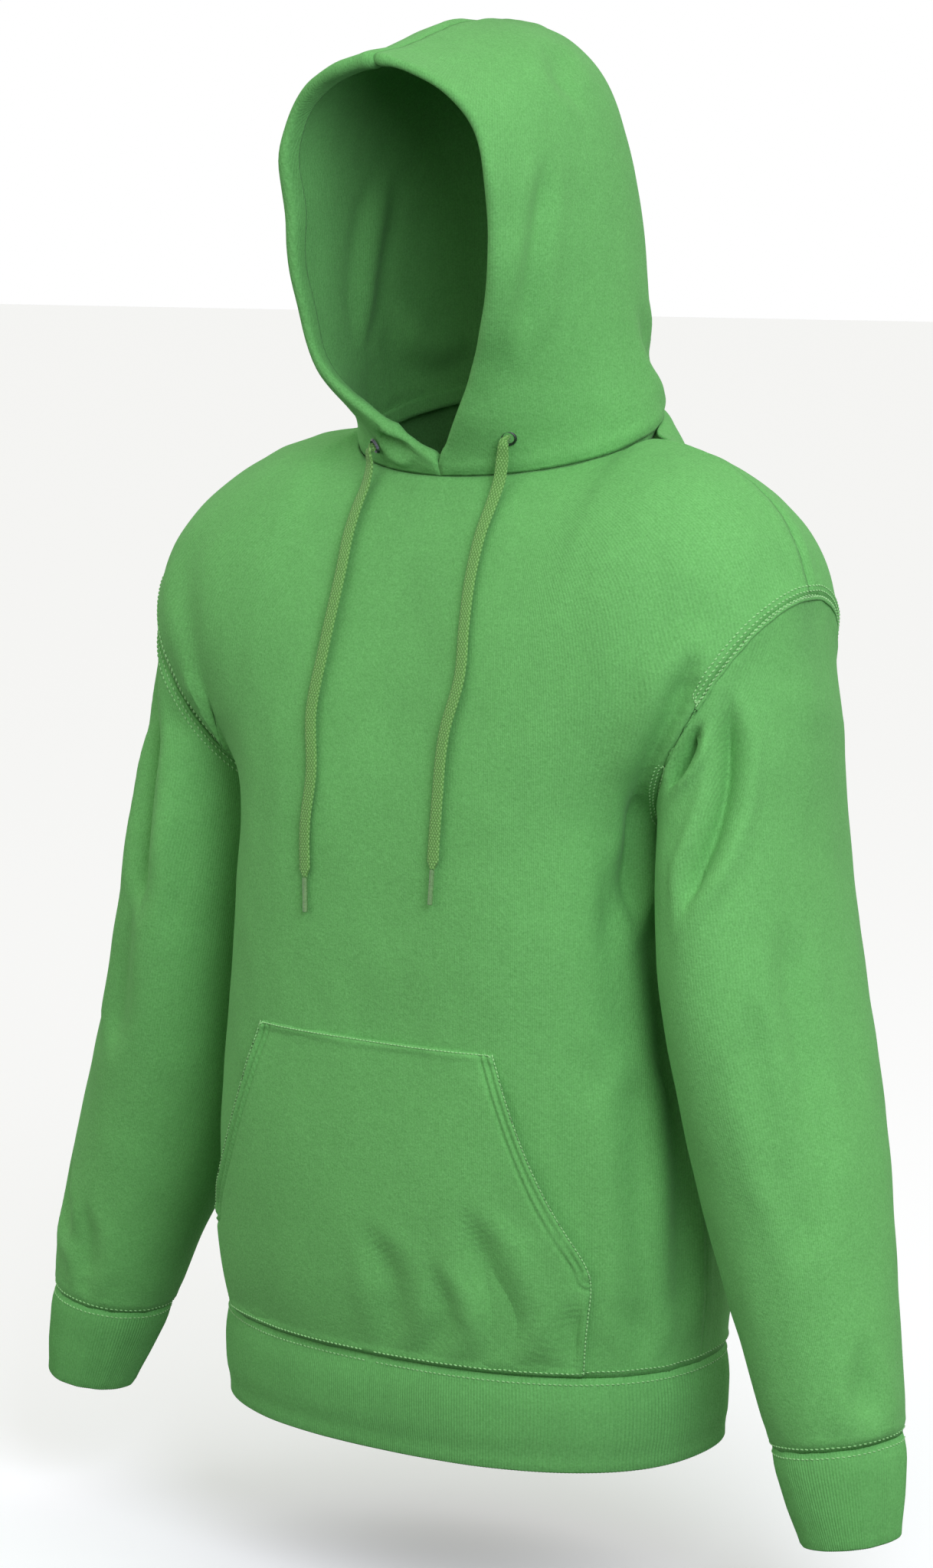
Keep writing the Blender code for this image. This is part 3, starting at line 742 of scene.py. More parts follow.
def make_sewn_face(node, seed, hang, crumple, chart):
    """A sewn piece with a slow hang and a fine crumple, each a depth, a size and a stretch, and its folds."""
    piece = outer_face(node, node + "_cloth")
    rounded(piece, BODY_LEVELS)
    ease(piece, *hang, seed)
    ease(piece, *crumple, seed + 5)
    press_folds(piece, folds_of(node))
    draw_in_seams(piece)
    lay_grain(piece, chart)
    print(piece.name, "has", len(piece.data.polygons), "faces before its wall")
    return piece


BODY_HANG, BODY_CRUMPLE = (0.0030, 0.085, (1, 1, 2.2)), (0.0007, 0.022, (1, 1, 1.6))
front = make_sewn_face("front_panel", 1.3, BODY_HANG, BODY_CRUMPLE, body_chart)
back = make_sewn_face("back_panel", 7.9, BODY_HANG, BODY_CRUMPLE, body_chart)

# %% Sleeves
SLEEVE_HANG, SLEEVE_CRUMPLE = (0.0030, 0.070, (1, 1, 2.4)), (0.0007, 0.020, (1, 1, 1.6))
sleeves = {side: make_sewn_face("sleeve_" + side, seed, SLEEVE_HANG, SLEEVE_CRUMPLE, round_own_line)
           for side, seed in (("left", 2.1), ("right", 4.7))}

# %% [markdown]
# ## Hood
# The hood is two mirrored halves sewn over the crown. Its free edge is turned in over the drawstring, so it
# ends in a soft round roll. That roll belongs to the same cloth: the edge of each half is extruded round a
# quarter turn and back inside before the surface is subdivided.

# %% Hood
ROLL_RADIUS = 0.0048
ROLL_TURNS = (40, 85, 130, 180)
ROLL_TAIL = 0.010
FACE_EDGE_Y = -0.0765     # the neck seam lies behind this
CROWN_FRONT_Y = -0.140    # the crown seam reaches forward to here


def on_face_opening(point):
    return point[1] < FACE_EDGE_Y


def on_free_edge(point):
    """The rolled edge round the face, but not the crown seam that ends in it."""
    return point[1] < FACE_EDGE_Y and abs(point[0]) > 0.002


def roll_edge(piece):
    """Turns the hood's free edge in by a round roll, built from its own edge points."""
    mesh = piece.data
    points, normals = points_of(mesh), normals_of(mesh)
    middle_seam = {v for path in edge_paths(mesh, lambda p: abs(p[0]) < 0.0015) for v in path}
    path = edge_paths(mesh, on_face_opening)[0]
    path = [v for v in path if not (v in middle_seam and points[v][1] > CROWN_FRONT_Y and points[v][2] > 0.1)]
    edge = points[path]
    runs = unit(np.gradient(edge, axis=0))
    outs = unit(np.cross(runs, normals[path]))
    inner = points.mean(0)
    if np.mean(np.einsum("ij,ij->i", outs, edge - inner)) < 0:
        outs = -outs
    outs[:, 0] *= np.where(np.abs(edge[:, 0]) < 0.0015, 0, 1)
    outs = unit(outs)
    shell = bmesh.new()
    shell.from_mesh(mesh)
    shell.verts.ensure_lookup_table()
    before = [shell.verts[v] for v in path]
    stages = [(ROLL_RADIUS * math.sin(math.radians(a)), ROLL_RADIUS * (1 - math.cos(math.radians(a))))
              for a in ROLL_TURNS] + [(-ROLL_TAIL, 2 * ROLL_RADIUS)]
    for forward, under in stages:
        places = edge + outs * forward - normals[path] * under
        row = [shell.verts.new(tuple(place)) for place in places]
        for k in range(len(row) - 1):
            shell.faces.new((before[k], before[k + 1], row[k + 1], row[k]))
        before = row
    bmesh.ops.recalc_face_normals(shell, faces=shell.faces)
    shell.to_mesh(mesh)
    shell.free()
    mesh.update()
    middle = Vector((0, 0, 0.12))
    face = max(mesh.polygons, key=lambda f: abs(f.center.x))
    if face.normal.dot(face.center - middle) < 0:
        mesh.flip_normals()


EDGE_FLUTTER = 0.0050
FLUTTER_REACH = 0.030


def flutter_edge(piece, seed):
    """The free edge hangs a little wavy, and less so the further back from it."""
    mesh = piece.data
    points, normals = points_of(mesh), normals_of(mesh)
    rim = [v for path in edge_paths(mesh) for v in path if on_free_edge(points[v])]
    near = np.exp(-(distance_to(points, points[rim]) / FLUTTER_REACH) ** 2)
    near = near * rim_share(mesh, points, on_free_edge)
    waves = np.array([noise.noise(Vector((seed, p[1] * 8, p[2] * 26))) for p in points])
    outward = points * (1, 1, 0) - np.array((0, 0.02, 0))
    set_points(mesh, points + unit(outward) * (EDGE_FLUTTER * near * waves)[:, None])


def make_hood_half(side, seed):
    piece = outer_face("hood_" + side, "hood_" + side + "_cloth")
    roll_edge(piece)
    rounded(piece, BODY_LEVELS)
    ease(piece, 0.0022, 0.060, (1, 1, 1.8), seed, on_free_edge)
    ease(piece, 0.0006, 0.018, (1, 1, 1.5), seed + 5, on_free_edge)
    press_folds(piece, folds_of("hood_" + side), on_free_edge)
    flutter_edge(piece, seed)
    draw_in_seams(piece, on_free_edge)
    lay_grain(piece, round_axis(0, -0.02, 0.11))
    return piece


hoods = {"left": make_hood_half("left", 3.3), "right": make_hood_half("right", 6.1)}
print("hood halves with", [len(piece.data.polygons) for piece in hoods.values()], "faces")

# %% Neck tape
TAPE_HALF = 0.006
TAPE_INSET = 0.0027
NECK_TOP_Z = 0.036


def make_neck_tape():
    """The strip that covers the neck seam inside, laid along the lower edges of the two hood halves."""
    strip = []
    for side, hood in (("right", hoods["right"]), ("left", hoods["left"])):
        points = points_of(hood.data)
        neck = edge_paths(hood.data, lambda p: p[1] > FACE_EDGE_Y and p[2] < NECK_TOP_Z)[0]
        run = points[neck]
        strip.append(run if (run[0][1] < run[-1][1]) == (side == "left") else run[::-1])
    ring = np.concatenate(strip[::-1])[::3]
    ring = smooth_path(ring, 0.004)
    middle = ring.mean(0)
    inward = middle - ring
    inward[:, 2] = 0
    inward = unit(inward)
    lifts = np.linspace(-TAPE_HALF, TAPE_HALF, 5)
    rows = [ring + inward * TAPE_INSET + np.array((0, 0, lift)) for lift in lifts]
    count, columns = len(rows), len(ring)
    index = np.arange(count * columns).reshape(count, columns)
    faces = np.stack([index[:-1, :-1], index[:-1, 1:], index[1:, 1:], index[1:, :-1]], -1).reshape(-1, 4)
    piece = piece_from("neck_tape", np.concatenate(rows), faces)
    lay_grain(piece, round_axis(0, 0, 0.1))
    print("neck tape", round(float(np.linalg.norm(np.diff(ring, axis=0), axis=1).sum()), 3), "m long")
    return piece


neck_tape = make_neck_tape()

# %% [markdown]
# ## Pocket
# The kangaroo pocket is one flat piece sewn on along its top, its sides and the hem seam, and open at its two
# slants. Each slant is hemmed with two rows of stitches, and those rows press shallow channels in the cloth.

# %% Pocket
POCKET_EDGE_LIFT = 0.0022
SLANT_ROWS = (0.0046, 0.0088)
LIFT_REACH = 0.020
SLANT_PROFILE = (
    *((-0.0012, row, 0.0014) for row in SLANT_ROWS),   # the channels under the stitches
    (0.0011, 0.0024, 0.0016),                          # the folded edge
    (0.0008, 0.0067, 0.0014),                          # the puff between the two rows
)
POCKET_SEAM_PROFILE = ((-0.0006, 0, 0.0010), (0.0009, 0.0036, 0.0022))


def pocket_corners(mesh):
    """The outline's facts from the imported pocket: its top, its widest height and its foot."""
    points = points_of(mesh)
    widest = points[points[:, 0].argmax()]
    return points[:, 2].max(), widest[2], points[:, 2].min()


def make_pocket():
    piece = outer_face("pocket", "pocket_cloth")
    top, corner, foot = pocket_corners(piece.data)
    rounded(piece, 4)
    ease(piece, 0.0020, 0.060, (1, 1, 1.6), 9.2)
    press_folds(piece, folds_of("pocket"))
    mesh = piece.data
    points, normals = points_of(mesh), normals_of(mesh)
    slant = lambda p: p[2] > corner - 0.002 and abs(p[0]) > 0.05 and p[2] < top - 0.0015
    slants = points[[v for path in edge_paths(mesh, slant) for v in path]]
    others = points[[v for path in edge_paths(mesh, lambda p: not slant(p)) for v in path]]

    open_edge, sewn_edge = distance_to(points, slants), distance_to(points, others)
    rise = POCKET_EDGE_LIFT * np.exp(-(open_edge / LIFT_REACH) ** 2) * soft_step(sewn_edge / 0.03)
    rise += profile_rise(open_edge, SLANT_PROFILE) + profile_rise(sewn_edge, POCKET_SEAM_PROFILE)
    set_points(mesh, points + normals * rise[:, None])
    lay_grain(piece, body_chart)
    return piece, (top, corner, foot)


pocket, (POCKET_TOP_Z, POCKET_CORNER_Z, POCKET_FOOT_Z) = make_pocket()
print("pocket with", len(pocket.data.polygons), "faces")

# %% [markdown]
# ## Cuffs and hem
# The cuffs and the hem band are one-by-one rib, doubled over and drawn in by its own stretch. The rib runs
# straight down the band, so each band is measured all round on its solid, and then built again as rings of
# points: a narrow ridge for each rib, a rounded fold at the free edge, and the second layer back up inside.
# The rings go a little way up under the cloth above, as a seam allowance does, so no gap shows there.

# %% Cuffs and hem
RIB_PITCH = 0.0021
RIB_DEPTH = 0.00030
RIB_STEPS = 5
BAND_WALL = 0.0022
BAND_RINGS = 12
BAND_INSET = 0.02        # a band is measured this share of its height inside its two edges
SEAM_START = -0.012      # its first ring stands this share of its height over its seam
SEAM_DRAW = 0.0008       # its seam draws it in by this much
SEAM_SHARE = 0.12        # and lets go of it over this share of its height
BAND_SAG = 0.0009
FREE_FOLD = ((0.0006, 0.0009), (0.0018, 0.0014), (0.0028, 0.0009))   # inwards and down, round the fold
RAY_START = 0.6


def measured_band(node, axis_top, axis_foot, along, harmonics, samples=360, rows=9):
    """A tube-like node's outer radius round an axis, by angle and level, with the facets smoothed out."""
    tree = tree_of(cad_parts[node].data)
    axis_top, axis_foot, along = Vector(axis_top), Vector(axis_foot), Vector(along)
    right = Vector((0, 1, 0)).cross(along).normalized()
    ahead = along.cross(right)
    reach = np.zeros((rows, samples))
    for i in range(rows):
        share = BAND_INSET + (1 - 2 * BAND_INSET) * i / (rows - 1)
        middle = axis_top.lerp(axis_foot, share)
        for k in range(samples):
            turn = 2 * math.pi * k / samples
            out = right * math.sin(turn) - ahead * math.cos(turn)
            hit = tree.ray_cast(middle + out * RAY_START, -out)[0]
            far = (hit - middle).dot(out) if hit else -1
            reach[i, k] = far if far > 0 else np.nan
    for i in [*range(1, rows), *range(rows - 2, -1, -1)]:   # a level that misses takes its neighbour's radius
        other = reach[i - 1] if i and not np.isnan(reach[i - 1]).any() else reach[min(i + 1, rows - 1)]
        reach[i] = np.where(np.isnan(reach[i]), other, reach[i])
    reach = np.where(np.isnan(reach), np.nanmean(reach), reach)
    waves = np.fft.rfft(reach, axis=1)
    waves[:, harmonics:] = 0
    return waves, axis_top, axis_foot, right, ahead


BAND_TOPS = {}
SEAM_TUCK = 0.0016   # the band's seam allowance goes this far in, under the cloth above it
TUCK_RISE = 0.004    # and reaches this far up inside it


def make_band(node, axis_top, axis_foot, along, harmonics, seed):
    waves, top, foot, right, ahead = measured_band(node, axis_top, axis_foot, along, harmonics)
    rows, samples = waves.shape[0], 360
    girth = 2 * math.pi * waves[0, 0].real / samples
    ribs = round(girth / RIB_PITCH)
    columns = ribs * RIB_STEPS
    turns = 2 * math.pi * np.arange(columns) / columns
    orders = np.arange(waves.shape[1])
    shape = np.real(waves[:, :harmonics] @ np.exp(1j * np.outer(orders[:harmonics], turns)))
    shape = (2 * shape - waves[:, :1].real) / samples
    length = (foot - top).length
    levels = list(np.linspace(SEAM_START, 1, BAND_RINGS))
    ridge = np.cos(2 * math.pi * ribs * np.arange(columns) / columns)
    out = np.outer(np.sin(turns), np.array(right)) - np.outer(np.cos(turns), np.array(ahead))

    def radius_at(level):
        at = min(max((level - BAND_INSET) / (1 - 2 * BAND_INSET), 0), 1) * (rows - 1)
        low = min(int(at), rows - 2)
        return shape[low] + (shape[low + 1] - shape[low]) * (at - low)

    sheet = []
    for level in levels:
        free = soft_step(np.array([level / SEAM_SHARE]))[0]
        radius = radius_at(level) + RIB_DEPTH * ridge * (0.35 + 0.65 * free) - SEAM_DRAW * (1 - free)
        sag = BAND_SAG * np.array([noise.noise(Vector((c * 3, s * 3, level * 1.3 + seed))) for s, c in
                                 zip(np.sin(turns), np.cos(turns))])
        sheet.append(np.array(top.lerp(foot, level)) + out * (radius + sag)[:, None])
    last, drop = sheet[-1], unit(np.array(foot - top))
    for inset, down in FREE_FOLD:
        sheet.append(last - out * inset + drop * down)
    for level in levels[::-1][::3]:
        radius = radius_at(level) - BAND_WALL - 2 * RIB_DEPTH
        sheet.append(np.array(top.lerp(foot, level)) + out * radius[:, None])
    BAND_TOPS[node] = sheet[0]
    sheet = [sheet[0] - out * SEAM_TUCK - drop * TUCK_RISE, sheet[0] - out * SEAM_TUCK * 0.7] + sheet
    points = np.concatenate(sheet)
    count = len(sheet)
    index = np.arange(count * columns).reshape(count, columns)
    after = np.roll(index, -1, axis=1)
    below = np.roll(index, -1, axis=0)   # the inner layer's last row joins the first row again, in the seam
    faces = np.stack([index, below, np.roll(after, -1, axis=0), after], -1).reshape(-1, 4)
    piece = piece_from(node + "_cloth", points, faces)
    mesh = piece.data
    middle = points.mean(0)
    face = mesh.polygons[0]
    if face.normal.dot(face.center - Vector(middle)) < 0:
        mesh.flip_normals()
    turn_of = np.tile(turns, count)
    lay_grain(piece, lambda p: (turn_of, p[:, 2], ribs * RIB_PITCH / (2 * math.pi)))
    print(piece.name, "has", ribs, "ribs and", len(mesh.polygons), "faces, girth", round(girth, 3),
          "m, height", round(length, 3), "m")
    return piece


def band_axis(node):
    """The middle of a band's upper and lower openings."""
    low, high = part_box(node)
    points = points_of(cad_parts[node].data)
    ends = []
    for height in (high[2], low[2]):
        slab = points[np.abs(points[:, 2] - height) < 0.25 * (high[2] - low[2])]
        ends.append((*(slab[:, :2].min(0) + slab[:, :2].max(0)) / 2, height))
    return ends


def cuff_axis(side):
    """A cuff leans with its sleeve, so its ends are found from the middles of its two rims."""
    piece = outer_face("cuff_" + side, "rim_finder")
    rims = [points_of(piece.data)[path] for path in edge_paths(piece.data)[:2]]
    bpy.data.objects.remove(piece, do_unlink=True)
    rims.sort(key=lambda rim: -rim[:, 2].mean())
    along = sum(np.linalg.svd(rim - rim.mean(0))[2][2] * np.sign(-np.linalg.svd(rim - rim.mean(0))[2][2][2])
                for rim in rims)
    return tuple(rims[0].mean(0)), tuple(rims[1].mean(0)), tuple(unit(along))


HEM_TOP, HEM_FOOT = band_axis("hem_rib")
hem = make_band("hem_rib", (0, -0.035, HEM_TOP[2]), (0, -0.035, HEM_FOOT[2]), (0, 0, -1), 14, 1.0)
cuffs = {side: make_band("cuff_" + side, *cuff_axis(side), 8, seed)
         for side, seed in (("left", 2.0), ("right", 3.0))}

# %% [markdown]
# ## Stitches
# A cover stitch holds both sides of the armholes, the cuffs, the hem and the pocket. One stitch is a short
# rounded grain of thread. It is modelled once and repeated along a row, which is found by stepping a set
# distance from the seam and dropping each stitch onto the cloth, so that the rows follow every fold.

# %% Stitches
THREAD_LENGTH = 0.0028
THREAD_WIDTH = 0.0011
THREAD_STAND = 0.30    # how far a stitch stands out of the cloth, as a share of its width
STITCH_STEP = 0.0035


def one_stitch():
    bpy.ops.object.select_all(action="DESELECT")
    bpy.ops.mesh.primitive_ico_sphere_add(subdivisions=1, radius=0.5)
    grain = bpy.context.object
    bpy.ops.object.mode_set(mode="EDIT")
    bpy.ops.mesh.select_all(action="SELECT")
    bpy.ops.transform.resize(value=(THREAD_WIDTH, THREAD_LENGTH, THREAD_WIDTH))
    bpy.ops.object.mode_set(mode="OBJECT")
    points = points_of(grain.data)
    faces = np.array([tuple(face.vertices) for face in grain.data.polygons])
    bpy.data.objects.remove(grain, do_unlink=True)
    return points, faces


STITCH_POINTS, STITCH_FACES = one_stitch()


def stitch_places(path, clothes, aside, step=STITCH_STEP, closed=False):
    """Places and ways of the stitches of a row, a set distance aside from a seam's path on the cloth."""
    path = np.array(path, float)
    if closed:
        path = np.concatenate([path[-3:], path, path[:3]])
    row = smooth_path(path, step)
    if closed:
        row = row[3:-3]
    runs = unit(np.gradient(row, axis=0))
    places = []
    for point, run in zip(row, runs):
        best = min((tree.find_nearest(Vector(point)) for tree in clothes), key=lambda hit: hit[3])
        normal = np.array(best[1])
        out = unit(np.cross(run, normal))
        target = Vector(point + out * aside)
        hit = min((tree.find_nearest(target) for tree in clothes), key=lambda found: found[3])
        places.append((np.array(hit[0]), np.array(hit[1])))
    spots = np.array([place for place, _ in places])
    for _ in range(2):
        spots[1:-1] = (spots[:-2] + 2 * spots[1:-1] + spots[2:]) / 4
    return spots, np.array([normal for _, normal in places]), unit(np.gradient(spots, axis=0))


def sew(name, rows, material, lean=0.25):
    """One mesh of all the stitches of these rows."""
    points, faces = [], []
    count = 0
    for spots, normals, runs in rows:
        sides = unit(np.cross(runs, normals))
        slanted = unit(runs + lean * sides)
        across = unit(np.cross(slanted, normals))
        for spot, normal, run, side in zip(spots, normals, slanted, across):
            points.append(spot + normal * THREAD_WIDTH * THREAD_STAND
                          + STITCH_POINTS @ np.array([side, run, normal]))
            faces.append(STITCH_FACES + count)
            count += len(STITCH_POINTS)
    piece = piece_from(name, np.concatenate(points), np.concatenate(faces))
    turn_outwards(piece)
    piece.data.materials.append(material)
    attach(piece, "root")
    print(name, len(points), "stitches")
    return piece


def thread_finish():
    """Polyester thread in the cloth's own green, a little lighter and glossier than the nap round it."""
    material, tree, shader = plain_finish("thread_green", 0.6)
    place = node_of(tree, "ShaderNodeTexCoord").outputs["Object"]
    tone = ranged(tree, noise_of(tree, place, 400), 0.85, 1.1)
    tree.links.new(mixed(tree, "MULTIPLY", 1.0, (0.29, 0.62, 0.25, 1), tone), shader.inputs["Base Color"])
    shader.inputs["Sheen Weight"].default_value = 0.2
    ply = node_of(tree, "ShaderNodeTexWave", in_Scale=900, bands_direction="DIAGONAL")
    tree.links.new(place, ply.inputs["Vector"])
    tree.links.new(bumped(tree, ply.outputs["Fac"], 0.0001, 0.5), shader.inputs["Normal"])
    return material


thread = thread_finish()
trees = {name: tree_of(piece.data) for name, piece in
         (("front", front), ("back", back), ("pocket", pocket), ("hem", hem),
          ("sleeve_left", sleeves["left"]), ("sleeve_right", sleeves["right"]),
          ("cuff_left", cuffs["left"]), ("cuff_right", cuffs["right"]),
          ("hood_left", hoods["left"]), ("hood_right", hoods["right"]))}


def rim_of(piece, top):
    """The upper or lower rim of a tube, in order."""
    points = points_of(piece.data)
    rims = [points[path] for path in edge_paths(piece.data)[:2]]
    return max(rims, key=lambda rim: rim[:, 2].mean() * (1 if top else -1))


def seam_rows(path, inner, outer, asides):
    """Rows on both sides of a seam: on the inner clothes one way and on the outer clothes the other way."""
    return [stitch_places(path, [trees[name] for name in clothes], sign * aside, closed=True)
            for clothes, sign in ((inner, 1), (outer, -1)) for aside in asides]


def level_rows(path, rows):
    """Rows over and under a seam round a band: each is lifted and held out, and dropped on its cloth."""
    outward = unit((path - path.mean(0)) * (1, 1, 0))
    return [stitch_places(path + outward * out + (0, 0, lift), [trees[name] for name in clothes], 0,
                          closed=True) for clothes, lift, out in rows]


for side, sleeve in sleeves.items():
    arm = rim_of(sleeve, True)
    way = np.cross(arm[10] - arm[0], arm.mean(0) - arm[0])
    if way[0] * (1 if side == "left" else -1) > 0:
        arm = arm[::-1]
    sew("armhole_stitches_" + side,
        seam_rows(arm, ("sleeve_" + side,), ("front", "back"), (0.0042, 0.0078)), thread)
    sew("cuff_stitches_" + side, level_rows(rim_of(sleeve, False), (
        (("cuff_" + side,), -0.0034, 0.002), (("sleeve_" + side,), 0.0034, 0.002))), thread)

sew("hem_stitches", level_rows(BAND_TOPS["hem_rib"][::5], (
    (("hem",), -0.0040, 0.002), (("front", "back", "pocket"), 0.0036, 0.006))), thread)

# %% Pocket stitches
def pocket_rows():
    mesh = pocket.data
    points = points_of(mesh)
    cloth = [trees["pocket"]]
    rows = []
    step = 0.0028

    def run_of(test):
        return points[edge_paths(mesh, test)[0]]

    for side in (1, -1):
        slant = run_of(lambda p: POCKET_CORNER_Z - 0.001 < p[2] < POCKET_TOP_Z - 0.001 and p[0] * side > 0.05)
        foot = run_of(lambda p: POCKET_FOOT_Z + 0.002 < p[2] < POCKET_CORNER_Z + 0.001 and p[0] * side > 0.05)
        for path, asides in ((slant, SLANT_ROWS), (foot, (0.0020,))):
            inward = -1 if (path[-1][2] - path[0][2]) * side > 0 else 1
            rows += [stitch_places(path, cloth, -inward * aside, step) for aside in asides]
    top = run_of(lambda p: p[2] > POCKET_TOP_Z - 0.0025)
    inward = 1 if top[-1][0] > top[0][0] else -1
    return rows + [stitch_places(top, cloth, inward * 0.0020, step)]


sew("pocket_stitches", pocket_rows(), thread, 0.0)

# %% [markdown]
# ## Drawstring
# The drawstring is a flat braid about nine millimetres wide, so two sets of yarns cross on its face as
# small diamonds. A ribbon with a rounded section is swept down the route with its flat side against the
# chest, and each yarn's crown is raised by a few tenths of a millimetre. Each end has a moulded tip.

# %% Drawstring
CORD_WIDTH = 0.0085
CORD_THICK = 0.0026
YARN = 0.0021
YARN_RISE = 0.00022
YARN_LEAN = 1.6          # how fast a yarn crosses the braid as it runs along it
CORD_RINGS_STEP = 0.00055
CORD_SIDES = 26
EYELET_CENTRES = {"left": (0.0542, -0.0729, -0.0090), "right": (-0.0575, -0.0700, -0.0180)}


def braid_finish():
    """Olive braid, with painted shade in the gaps between its yarns and a painted highlight on their crowns.
    """
    material, tree, shader = plain_finish("braid_olive", 0.85)
    grain = node_of(tree, "ShaderNodeUVMap", uv_map="grain").outputs["UV"]
    place = node_of(tree, "ShaderNodeTexCoord").outputs["Object"]
    ways = []
    for turn in (32, -32):
        swing = node_of(tree, "ShaderNodeMapping")
        swing.inputs["Rotation"].default_value = (0, 0, math.radians(turn))
        tree.links.new(grain, swing.inputs["Vector"])
        wave = node_of(tree, "ShaderNodeTexWave", bands_direction="X",
                       in_Scale=1 / (BAND_TURNS * YARN * 0.85))
        tree.links.new(swing.outputs["Vector"], wave.inputs["Vector"])
        ways.append(wave.outputs["Fac"])
    crossing = node_of(tree, "ShaderNodeMath", operation="MULTIPLY")
    tree.links.new(ways[0], crossing.inputs[0])
    tree.links.new(ways[1], crossing.inputs[1])
    # The yarn crossings mark the crowns: this mix paints light on the crowns and shade in the gaps between
    # the yarns.
    painted_yarn_shading = ranged(tree, crossing.outputs[0], 0.0, 1.0, 0.02, 0.45)
    colour = mixed(tree, "MIX", painted_yarn_shading, (0.085, 0.240, 0.045, 1), (0.200, 0.430, 0.125, 1))
    fuzz = noise_of(tree, place, 1200, 2.0)
    colour = mixed(tree, "MULTIPLY", 1.0, colour, ranged(tree, fuzz, 0.85, 1.12))
    tree.links.new(colour, shader.inputs["Base Color"])
    tree.links.new(ranged(tree, fuzz, 0.75, 0.92), shader.inputs["Roughness"])
    shader.inputs["Sheen Weight"].default_value = 0.15
    rise = bumped(tree, crossing.outputs[0], 0.0004, 0.7)
    tree.links.new(bumped(tree, fuzz, 0.0001, 0.6, rise), shader.inputs["Normal"])
    return material


def make_drawstring(side, material):
    centre = np.array(EYELET_CENTRES[side])
    route = smooth_path((centre, *CORD_ROUTES[side]), CORD_RINGS_STEP)
    runs = unit(np.gradient(route, axis=0))
    normals = []
    for point in route[::20]:
        hit = min((trees[name].find_nearest(Vector(point)) for name in ("front", "hood_" + side)),
                  key=lambda found: found[3])
        normals.append(hit[1])
    normals = np.array([tuple(n) for n in normals])
    for _ in range(6):
        normals[1:-1] = (normals[:-2] + normals[1:-1] + normals[2:]) / 3
    steps = np.arange(len(route)) / 20
    normals = np.stack([np.interp(steps, np.arange(len(normals)), normals[:, k]) for k in range(3)], 1)
    sides = unit(np.cross(runs, normals))
    normals = unit(np.cross(sides, runs))
    reach = np.concatenate([[0], np.cumsum(np.linalg.norm(np.diff(route, axis=0), axis=1))])
    left = reach[-1] - reach
    width = CORD_WIDTH / 2 * (0.70 + 0.30 * soft_step(reach / 0.02)) * (0.45 + 0.55 * soft_step(left / 0.006))
    thick = CORD_THICK / 2 * np.ones(len(route))
    turns = 2 * math.pi * np.arange(CORD_SIDES) / CORD_SIDES
    flat = np.sign(np.cos(turns)) * np.abs(np.cos(turns)) ** 0.75
    high = np.sign(np.sin(turns)) * np.abs(np.sin(turns)) ** 0.75
    rings, chart = [], []
    for point, side_way, out, half, rise, place in zip(route, sides, normals, width, thick, reach):
        across = flat * half
        yarns = (np.cos(math.pi * (place + across * YARN_LEAN) / YARN)
                 * np.cos(math.pi * (place - across * YARN_LEAN) / YARN))
        lift = rise + YARN_RISE * yarns
        rings.append(point + np.outer(across, side_way) + np.outer(high * lift, out))
        chart.append(np.stack([across, np.full(CORD_SIDES, place)], 1))
    points = np.concatenate(rings)
    count = len(rings)
    index = np.arange(count * CORD_SIDES).reshape(count, CORD_SIDES)
    after = np.roll(index, -1, axis=1)
    faces = np.stack([index[:-1], after[:-1], after[1:], index[1:]], -1).reshape(-1, 4).tolist()
    faces += [index[0][::-1].tolist(), index[-1].tolist()]
    piece = piece_from("drawstring_" + side + "_braid", points, faces)
    mesh = piece.data
    layer = mesh.uv_layers.new(name="grain")
    loops = np.empty(len(mesh.loops), int)
    mesh.loops.foreach_get("vertex_index", loops)
    layer.data.foreach_set("uv", np.concatenate(chart)[loops].ravel())
    turn_outwards(piece)
    mesh.materials.append(material)
    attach(piece, "root")
    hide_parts("drawstring_" + side)
    print(piece.name, round(float(reach[-1]), 3), "m long")
    return piece


braid = braid_finish()
for side in CORD_ROUTES:
    make_drawstring(side, braid)


# %% [markdown]
# ## Tips and eyelets
# The tips are a clear plastic film shrunk round the braid, so they take its olive colour and shine. The
# eyelets are dark plated metal rings. Their solids have the right shape, so they only get a finish.

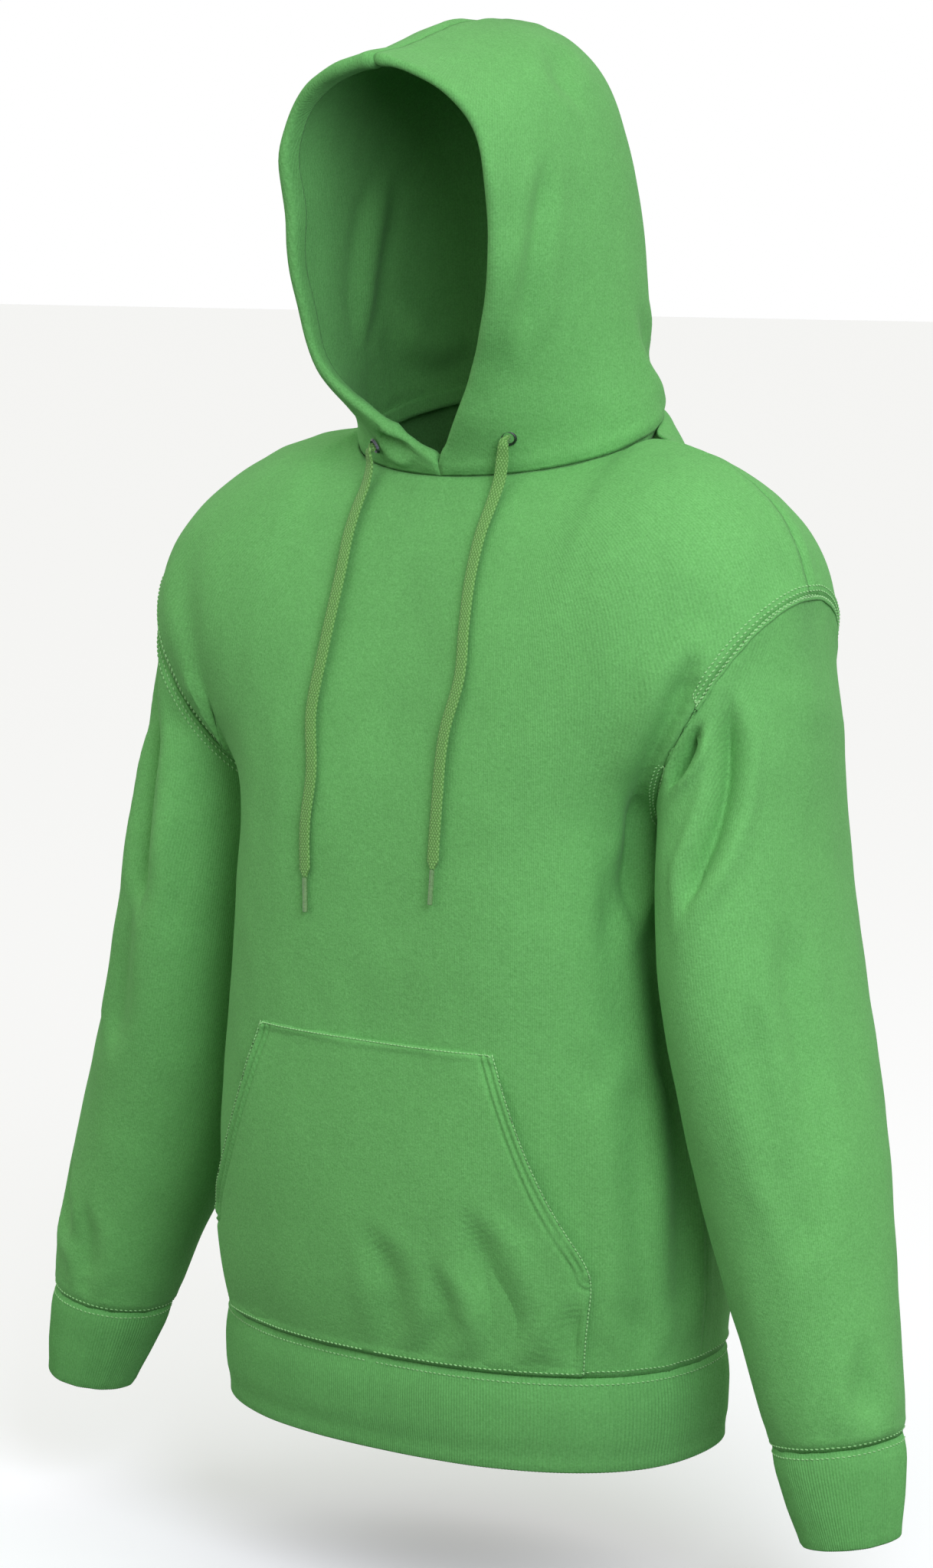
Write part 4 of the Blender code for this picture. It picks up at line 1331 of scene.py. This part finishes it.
# %% Tips and eyelets
def tip_finish():
    material, tree, shader = plain_finish("tip_plastic_olive", 0.3)
    place = node_of(tree, "ShaderNodeTexCoord").outputs["Object"]
    clouds = noise_of(tree, place, 500, 2.0)
    colour = mixed(tree, "MIX", ranged(tree, clouds, 0, 1), (0.085, 0.20, 0.065, 1), (0.150, 0.29, 0.11, 1))
    tree.links.new(colour, shader.inputs["Base Color"])
    tree.links.new(ranged(tree, clouds, 0.22, 0.4), shader.inputs["Roughness"])
    shader.inputs["Coat Weight"].default_value = 0.4
    shader.inputs["Coat Roughness"].default_value = 0.15
    tree.links.new(bumped(tree, clouds, 0.0002, 0.3), shader.inputs["Normal"])
    return material


def gunmetal_finish():
    material, tree, shader = plain_finish("eyelet_gunmetal", 0.3, 1.0)
    place = node_of(tree, "ShaderNodeTexCoord").outputs["Object"]
    wear = noise_of(tree, place, 900, 3.0)
    colour = mixed(tree, "MIX", ranged(tree, wear, 0, 1), (0.05, 0.055, 0.07, 1), (0.13, 0.14, 0.16, 1))
    tree.links.new(colour, shader.inputs["Base Color"])
    tree.links.new(ranged(tree, wear, 0.25, 0.42), shader.inputs["Roughness"])
    tree.links.new(bumped(tree, wear, 0.00005, 0.3), shader.inputs["Normal"])
    return material


def give_finish(node, material):
    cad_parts[node].data.materials.clear()
    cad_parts[node].data.materials.append(material)


tip_plastic, gunmetal = tip_finish(), gunmetal_finish()
for side in CORD_ROUTES:
    give_finish("drawstring_tip_" + side, tip_plastic)
    give_finish("eyelet_" + side, gunmetal)
print("tips and eyelets finished with", tip_plastic.name, "and", gunmetal.name)

# %% [markdown]
# ## Walls and finishes
# Each sheet now gets its thickness towards the inside and its finish, and its solid is hidden. The rib
# bands have their two layers already, so they get no wall.

# %% Walls and finishes
finish_cloth(front, fleece, CLOTH_WALL, "front_panel")
finish_cloth(back, fleece, CLOTH_WALL, "back_panel")
for side in ("left", "right"):
    finish_cloth(sleeves[side], fleece, CLOTH_WALL, "sleeve_" + side)
    finish_cloth(hoods[side], fleece, CLOTH_WALL, "hood_" + side)
    finish_cloth(cuffs[side], ribbing, None, "cuff_" + side)
finish_cloth(hem, ribbing, None, "hem_rib")
finish_cloth(pocket, fleece, CLOTH_WALL, "pocket")
finish_cloth(neck_tape, fleece, 0.0008, None)
